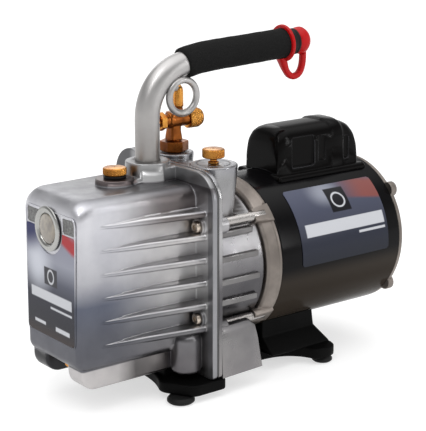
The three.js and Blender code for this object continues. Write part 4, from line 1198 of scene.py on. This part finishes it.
def smooth_path(points, steps):
    """Centripetal spline through the points."""
    knots = [Vector(p) for p in points]
    knots = [knots[0] * 2 - knots[1]] + knots + [knots[-1] * 2 - knots[-2]]
    result = []
    for a, b, c, d in zip(knots, knots[1:], knots[2:], knots[3:]):
        t0, t1 = 0, (b - a).length ** 0.5
        t2 = t1 + (c - b).length ** 0.5
        t3 = t2 + (d - c).length ** 0.5
        for k in range(steps):
            t = t1 + (t2 - t1) * k / steps
            p1 = a * ((t1 - t) / (t1 - t0)) + b * ((t - t0) / (t1 - t0))
            p2 = b * ((t2 - t) / (t2 - t1)) + c * ((t - t1) / (t2 - t1))
            p3 = c * ((t3 - t) / (t3 - t2)) + d * ((t - t2) / (t3 - t2))
            q1 = p1 * ((t2 - t) / (t2 - t0)) + p2 * ((t - t0) / (t2 - t0))
            q2 = p2 * ((t3 - t) / (t3 - t1)) + p3 * ((t - t1) / (t3 - t1))
            result.append(q1 * ((t2 - t) / (t2 - t1)) + q2 * ((t - t1) / (t2 - t1)))
    return result + [knots[-2]]


def handle_points():
    points = [(TUBE_X, 0, 222.3), (TUBE_X, 0, 240), (TUBE_X, 0, 262)]
    points += [bend_point(LAST_BEND * i / 8) for i in range(9)]
    return points + [(-26, 0, 328.4), (-5, 0, 330.4), (34, 0, 332.4), (113, 0, 336.7)]


def place_on_run(piece, x):
    """Puts a piece that was made about the X axis on the sloping run."""
    move = Matrix.Translation(Vector(run_point(x)) * MM) @ Matrix.Rotation(-RUN_RISE, 4, "Y")
    piece.data.transform(move)
    return piece


def make_handle():
    path = smooth_path(handle_points(), 6)
    tube = swept("handle_tube_fine", path, TUBE_RADIUS, 56)
    finish_piece(tube, "tube")
    grip_path = [p for p in path if -45.2 < p.x < 90.4]
    grip_path = [grip_path[0] - (grip_path[1] - grip_path[0]) * 0.12] + grip_path + [Vector(run_point(92.6))]
    fine, total = even_points(grip_path, 80)
    grip = swept("grip_sleeve_fine", fine, lambda t: grip_radius(t, total), 64)
    finish_piece(grip, "foam")
    make_hose_ring()
    make_cap()


def even_points(path, steps):
    """Points at equal distances along a path, and the path's length."""
    lengths = [0.0]
    for a, b in zip(path, path[1:]):
        lengths.append(lengths[-1] + (b - a).length)
    total = lengths[-1]
    fine = []
    for k in range(steps + 1):
        goal = total * k / steps
        i = max(j for j in range(len(lengths)) if lengths[j] <= goal + 1e-9)
        i = min(i, len(path) - 2)
        fine.append(path[i].lerp(path[i + 1], (goal - lengths[i]) / (lengths[i + 1] - lengths[i])))
    return fine, total


def grip_radius(t, length):
    edge = min(t, 1 - t) * length
    soft = 2.4 if t < 0.5 else 1.0
    round_end = soft - sqrt(max(0, soft ** 2 - (soft - min(edge, soft)) ** 2))
    return GRIP_RADIUS - round_end + 0.12 * sin(t * 37) * sin(t * 11)


def make_hose_ring():
    centre, radius, wire = Vector((-49, -9, 293.5)), 16.8, 3.5
    lean = radians(8)
    path = []
    for k in range(72):
        angle = 2 * pi * k / 72
        along, up = radius * cos(angle), radius * sin(angle)
        path.append(centre + Vector((along, up * sin(lean) * -0.25, up)))
    ring = swept("hose_ring_fine", path, wire, 24, closed=True)
    angles = [-pi / 2 + pi * k / 10 for k in range(1, 10)]
    ball = [(0, -4.4)] + [(4.6 * cos(t), 4.4 * sin(t)) for t in angles] + [(0, 4.4)]
    weld = turned("weld", "y", ball, (-58.1, -6.5, 304), 24)
    union(ring, weld, sharp=50)
    finish_piece(ring, "tube")


def make_cap():
    sleeve_profile = [(12.6, 0), (13.4, 0), (13.8, 0.5), (13.8, 2.6), (13.3, 3.1), (13.3, 7.4), (13.8, 7.9),
                      (13.8, 9.8), (13.4, 10.2), (12.6, 10.2), (12.6, 0)]
    sleeve = place_on_run(turned("exhaust_sleeve_fine", "x", sleeve_profile), SLEEVE_AT)
    finish_piece(sleeve, "rubber")
    outside = [(0, 16.8), (6, 16.4), (11, 14.6), (14.3, 10), (14.5, 6), (13.6, 2), (12.9, 0), (12.6, 0),
               (12.6, 9.8), (0, 9.8)]
    outside = rounded(outside, [0, 3, 4, 4, 3, 2, 0.3, 0.2, 0.4, 0], 4)
    cap = place_on_run(turned("exhaust_cap_fine", "x", outside, sides=96), CAP_AT)
    finish_piece(cap, "red", "exhaust_plug")
    ring_profile = rounded([(16.0, -3.2), (18.9, -3.2), (19.6, -1.5), (19.6, 0), (16.0, 0), (16.0, -3.2)],
                           [0, 0.8, 1.2, 0.8, 0, 0], 3)
    ring = place_on_run(turned("cap_tether_fine", "x", ring_profile, sides=80), TETHER_AT)
    union(ring, tether_strap(), sharp=50)
    room = [(0, -1), (13.3, -1), (14.1, 2), (14.9, 6), (14.7, 10.2), (11.4, 14.9), (6.2, 16.8), (0, 17.2)]
    cap_room = turned("cap_room", "x", room)
    grip_room = turned("grip_room", "x", rod(15.9, -34, 0.4))
    subtract(ring, place_on_run(cap_room, CAP_AT), place_on_run(grip_room, 92.4), sharp=50)
    finish_piece(ring, "red", None)
    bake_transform(ring)


def bezier(a, b, c, d, steps):
    a, b, c, d = (Vector(p) for p in (a, b, c, d))
    return [a * (1 - t) ** 3 + b * 3 * t * (1 - t) ** 2 + c * 3 * t * t * (1 - t) + d * t ** 3
            for t in [k / steps for k in range(steps + 1)]]


def tether_strap():
    """The strap hangs from the ring, turns up at its lowest point and meets the cap from below."""
    left = bezier((86.5, 0, 321), (91.5, 0, 311), (94, 0, 299.3), (104.5, 0, 298.7), 18)
    right = bezier((104.5, 0, 298.7), (114.5, 0, 299.3), (118.6, 0, 309), (116.6, 0, 330), 18)
    path = left + right[1:]
    side = Vector((0, 1, 0))
    rings = []
    count = len(path)
    for i, here in enumerate(path):
        tangent = (path[min(i + 1, count - 1)] - path[max(i - 1, 0)]).normalized()
        out = Vector((tangent.z, 0, -tangent.x))
        root = max(0, 1 - i / 9)
        wide, thick = 3.7 + 2.4 * root, 3.5 + 1.2 * root
        angles = [2 * pi * k / 28 for k in range(28)]
        rings.append([tuple(here + side * (wide * soft_cos(a)) + out * (thick * soft_cos(a - pi / 2)))
                      for a in angles])
    return loft("strap", rings, 60)


def soft_cos(angle):
    """A cosine with fuller corners, for a section between round and square."""
    return copysign(abs(cos(angle)) ** 0.75, cos(angle))


# ---- brass valve and knobs ----
FILL_AT = (-126, 0)
PORT_Z = 261
SEAT_Z = 226.5
TOP_CAP_X = 6


def knurl(count, twist, depth, near):
    """Diamond knurling on the faces whose radius is close to `near`."""
    def shape(angle, place, radius):
        if abs(radius - near) > 0.02:
            return 0
        return depth * (abs(sin(angle * count / 2 + place * twist)) ** 0.7
                        * abs(sin(angle * count / 2 - place * twist)) ** 0.7) - depth * 0.6
    return shape


def knob(name, place, radius, low, high, crown=0.8, count=44, dimple=4.5):
    rows = [(radius, low + 1 + (high - low - 2) * k / 16) for k in range(17)]
    profile = [(0, low), (radius - 1.2, low), (radius - 0.3, low + 0.5)] + rows
    rim = high - 0.5
    profile += [(radius - 0.3, rim), (radius - 1.3, high), (dimple + 1, high + crown * 0.3), (dimple, rim)]
    profile.append((0, rim))
    return turned(name, "z", profile, place, 264, 50, knurl(count, 1.5, 0.7, radius))


def make_knobs():
    x, y = FILL_AT
    cap = knob("oil_fill_cap_fine", (x, y, 0), 11.6, 223.2, 230.7, 0.5, 52, 0.5)
    stem = turned("stem", "z", rod(8, 210, 224), (x, y, 0), 32)
    union(cap, stem, sharp=50)
    finish_piece(cap, "brass", "fill_cap")
    ring = rounded([(8.6, 220.3), (11.4, 220.3), (11.4, 222.9), (8.6, 222.9), (8.6, 220.3)], 0.8, 4)
    finish_piece(turned("oil_fill_seal_fine", "z", ring, (x, y, 0), 48), "seal")
    x, y = BALLAST_AT
    wheel = knob("ballast_knob_fine", (x, y, 2), 11.2, 232.0, 241.2, 0.6, 48, 0.5)
    profile = rounded([(0, 230.5), (4.6, 230.5), (9.4, 233.2), (0, 233.2)], [0, 0.5, 1, 0])
    under = turned("under", "z", profile, (x, y, 2), 48)
    union(wheel, under, sharp=50)
    finish_piece(wheel, "brass", "ballast_handwheel")
    profile = rounded([(0, 212), (3, 212), (3, 226.4), (5.6, 226.4), (5.6, 228.0), (3.6, 228.6), (3.4, 230.2),
                       (0, 230.2)], [0, 0.3, 0, 0.4, 0.4, 0.5, 0.3, 0])
    finish_piece(turned("ballast_stem_fine", "z", profile, (x, y, 2), 48), "brass", "ballast_spindle")
    profile = [(0, -187), (4.6, -187), (5.5, -186), (5.5, -178.3), (0, -178.3)]
    profile = rounded(profile, [0, 0.6, 0.6, 0.3, 0])
    drain = turned("drain_cap_fine", "x", profile, DRAIN, 60)
    shank = turned("shank", "x", rod(2.9, -179, -167), DRAIN, 24)
    union(drain, shank)
    finish_piece(drain, "brass", "drain_plug")


def chamfered_hex(name, axis, across, start, stop, at, chamfer=1.0):
    outline = hex_outline(across, *[c for c, letter in zip(at, "xyz") if letter != axis], pi / 6)
    body = prism(name, axis, outline, start, stop, 0.35, steps=2)
    corner = across / sqrt(3)
    end, full = corner - chamfer, corner + 0.2
    profile = [(0, start - 0.1), (end, start - 0.1), (full, start + chamfer), (full, stop - chamfer),
               (end, stop + 0.1), (0, stop + 0.1)]
    return combine(body, [turned("keep", axis, profile, at, 48)], "INTERSECT")


def make_valve():
    x, y = VALVE_AT
    at = (x, y, 0)
    top = (x + TOP_CAP_X, y, PORT_Z)
    arm = (0, y, PORT_Z)
    nut = chamfered_hex("intake_union_nut_fine", "z", 27, SEAT_Z + 3, SEAT_Z + 13, at)
    collar = rounded(rod(12.8, SEAT_Z + 2.2, SEAT_Z + 4), 0.4)
    union(nut, turned("collar", "z", collar, at, 48))
    subtract(nut, turned("bore", "z", rod(7.4, 220, 244), at, 40))
    finish_piece(nut, "brass_dark")
    rise = SEAT_Z + 13.2
    body = turned("intake_valve_body_fine", "z", [(0, 216), (7, 216), (7, rise), (7.8, rise), (7.8, rise + 2),
                                                  (0, rise + 2)], at, 48)
    parts = [valve_upright(at)]
    parts.append(turned("boss", "x", rounded(rod(8.4, x - 8.5, x + 7.5), 2), arm, 48))
    parts.append(turned("arm", "x", rounded(rod(7.5, x + 5, x + 16), 0.6), arm, 48))
    parts.append(turned("thread", "x", thread_profile(x + 15, x + 27, 5.6, 6.2), arm, 40))
    parts.append(turned("neck", "x", rod(7, x - 13.2, x - 6), arm, 40))
    brow = rounded([(0, 3), (7.2, 3), (7.0, 8.5), (5.2, 10.6), (4.6, 13.1), (0, 13.1)], [0, 0, 2, 1, 0.4, 0])
    parts.append(turned("brow", "z", brow, top, 40))
    parts.append(turned("top_thread", "z", rod(3, 12, 22), top, 24))
    union(body, *parts, sharp=42)
    subtract(body, turned("stem_bore", "x", rod(3.3, x - 15, x), arm, 24))
    finish_piece(body, "brass_dark")
    make_valve_caps(top, arm)


def valve_upright(at):
    x, y, _ = at
    rings = []
    sections = [(240, 6.8, 2.0), (242, 7.0, 2.2), (245, 6.8, 2.4), (250, 6.3, 2.8), (255, 6.4, 3.0),
                (260, 7.0, 3.0), (268, 7.0, 3.0), (270, 6.2, 3.0)]
    for z, half, corner in sections:
        outline = rounded_rect(x - half, x + half, y - half, y + half, corner, corner, steps=5)
        rings.append([(u, v, z) for u, v in outline])
    return loft("upright", rings, 42)


def thread_profile(start, stop, core, crest, pitch=1.4):
    points = [(0, start), (core, start)]
    turns = int((stop - start) / pitch)
    for k in range(turns):
        foot = start + pitch * k
        points += [(core, foot + 0.2), (crest, foot + pitch * 0.5), (core, foot + pitch)]
    return points + [(core, stop), (0, stop)]


def make_valve_caps(top, arm):
    x, y = VALVE_AT
    radius = 10.3
    rows = [(radius, x + 17.4 + 12 * k / 20) for k in range(21)]
    profile = [(0, x + 28), (6.6, x + 28), (6.6, x + 16.4), (9.4, x + 16.4), (9.9, x + 16.8)] + rows
    profile += [(9.9, x + 30), (9.3, x + 30.6), (9.4, x + 31.6), (8.7, x + 33.3), (7, x + 34.3)]
    profile.append((0, x + 34.5))
    cap = turned("intake_port_cap_fine", "x", profile, arm, 216, 50, knurl(36, 1.3, 0.8, radius))
    finish_piece(cap, "brass", "port_cap")
    profile = [(0, 22.6), (3.3, 22.6), (3.3, 13.5), (5, 13.5), (5.5, 14.2), (5.6, 16)]
    profile += [(5.6 - 0.3 * (k % 2), 16.6 + k * 0.8) for k in range(16)]
    profile += [(5.5, 29.6), (4.7, 33.4), (3.3, 35.6), (1.5, 36.6), (0, 36.8)]
    cap = turned("intake_top_cap_fine", "z", profile, top, 96, 50)
    finish_piece(cap, "brass", "top_cap")
    packing = chamfered_hex("valve_packing_nut_fine", "x", 17, x - 19.8, x - 13.4, arm, 0.8)
    subtract(packing, turned("bore", "x", rod(3.3, x - 22, x - 10), arm, 24))
    finish_piece(packing, "brass")
    profile = [(0, x - 28), (5.6, x - 28), (6, x - 26), (6, x - 20.4), (3, x - 20.4), (3, x - 3), (0, x - 3)]
    lever = turned("valve_lever_fine", "x", rounded(profile, [0, 0.8, 0.5, 0.3, 0, 0.2, 0]), arm, 40)
    eye_z = PORT_Z + 24
    outline = [(y + 5.2 * cos(a), eye_z + 5.2 * sin(a)) for a in [pi * k / 12 for k in range(13)]]
    outline += [(y - 3.8, PORT_Z + 7), (y - 5, PORT_Z + 1), (y + 5, PORT_Z + 1), (y + 3.8, PORT_Z + 7)]
    blade = prism("blade", "x", outline, x - 27, x - 22.4, 1.2)
    eye = turned("eye", "x", rod(2.0, x - 30, x - 20), (0, y, eye_z), 24)
    subtract(blade, eye)
    union(lever, blade, sharp=42)
    finish_piece(lever, "brass", "isolation_lever")


# ---- base and feet ----
def curve_points(start, *legs, steps=10):
    """Outline from straight legs (one point) and quadratic legs (control, end)."""
    points = [start]
    for leg in legs:
        if len(leg) == 1:
            points.append(leg[0])
            continue
        control, end = leg
        a = points[-1]
        for k in range(1, steps + 1):
            t = k / steps
            points.append(tuple(p * (1 - t) ** 2 + 2 * c * t * (1 - t) + e * t * t
                                for p, c, e in zip(a, control, end)))
    return points


def base_plan():
    y, waist = 83.5, 44
    half = curve_points((-97, 0), ((-98, -24), (-107, -43)), ((-111, -50), (-107, -57)), ((-94, -79),),
                        ((-91, -y), (-84, -y)), ((-56, -y),), ((-50, -y), (-50, -y + 8)),
                        ((-46, -waist), (0, -waist)), ((30, -waist),), ((66, -waist - 2), (74, -y + 6)),
                        ((106, -y - 3), (107, -62)), ((94, -30), (94, 0)))
    return half + [(u, -v) for u, v in reversed(half[1:-1])]


def make_base():
    plate = prism("base_cradle_fine", "z", base_plan(), 6.5, 18, 2.2)
    side = [(-66, 17), (-58, 24), (-47, 34), (-47, 56), (47, 56), (47, 34), (58, 24), (66, 17)]
    saddle = prism("saddle", "x", rounded(side, 4, 4, closed=True), 25, 106, 1.5)
    flank = prism("flank", "y", [(106, 17), (97, 34), (93, 60), (125, 60), (125, 17)], -75, 75)
    subtract(saddle, flank)
    pad = box("pad", -97, -70, -40, 40, 15, 27.7, 1.5)
    web = [box("web", -52, 28, s * 30 - 2, s * 30 + 2, 15, 23, 1) for s in (-1, 1)]
    union(plate, saddle, pad, *web)
    bed = turned("bed", "x", rod(82.9, 20, 130), SHAFT, 128)
    subtract(plate, bed)
    finish_piece(plate, "plastic")
    for end, radius in (("front", 14), ("rear", 11)):
        for name, side in (("left", -1), ("right", 1)):
            x, y, _ = middle(f"foot_{end}_{name}")
            profile = [(0, 0), (radius - 2, 0), (radius, 1.6), (radius, 3.6), (radius - 2.2, 6.4), (0, 6.4)]
            profile = rounded(profile, [0, 0.6, 0.6, 0.8, 0.6, 0], 4)
            foot = turned(f"foot_{end}_{name}_fine", "z", profile, (x, y, 0), 48)
            finish_piece(foot, "rubber")


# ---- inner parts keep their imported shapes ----
INNER = {
    "iron": ["pump_casting", "pump_end_plate", "pump_rotor", "motor_rotor", "front_bearing", "rear_bearing",
             "coupling_motor_hub", "coupling_pump_hub", "exhaust_valve_disc"],
    "vane": ["vane_first_left", "vane_first_right", "vane_second_left", "vane_second_right"],
    "plastic": ["cooling_fan"],
    "copper": ["motor_stator"],
    "zinc": ["run_capacitor"],
    "switch": ["power_switch"],
}


def dress_inner():
    for look, names in INNER.items():
        for name in names:
            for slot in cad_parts[name].material_slots:
                slot.link = "OBJECT"
                slot.material = materials[look]


add_stage()
materials = make_materials()
for build in (make_reservoir, make_bracket, make_screws, make_motor, make_cover, make_handle, make_knobs,
              make_valve, make_base, dress_inner):
    build()

bpy.context.view_layer.update()
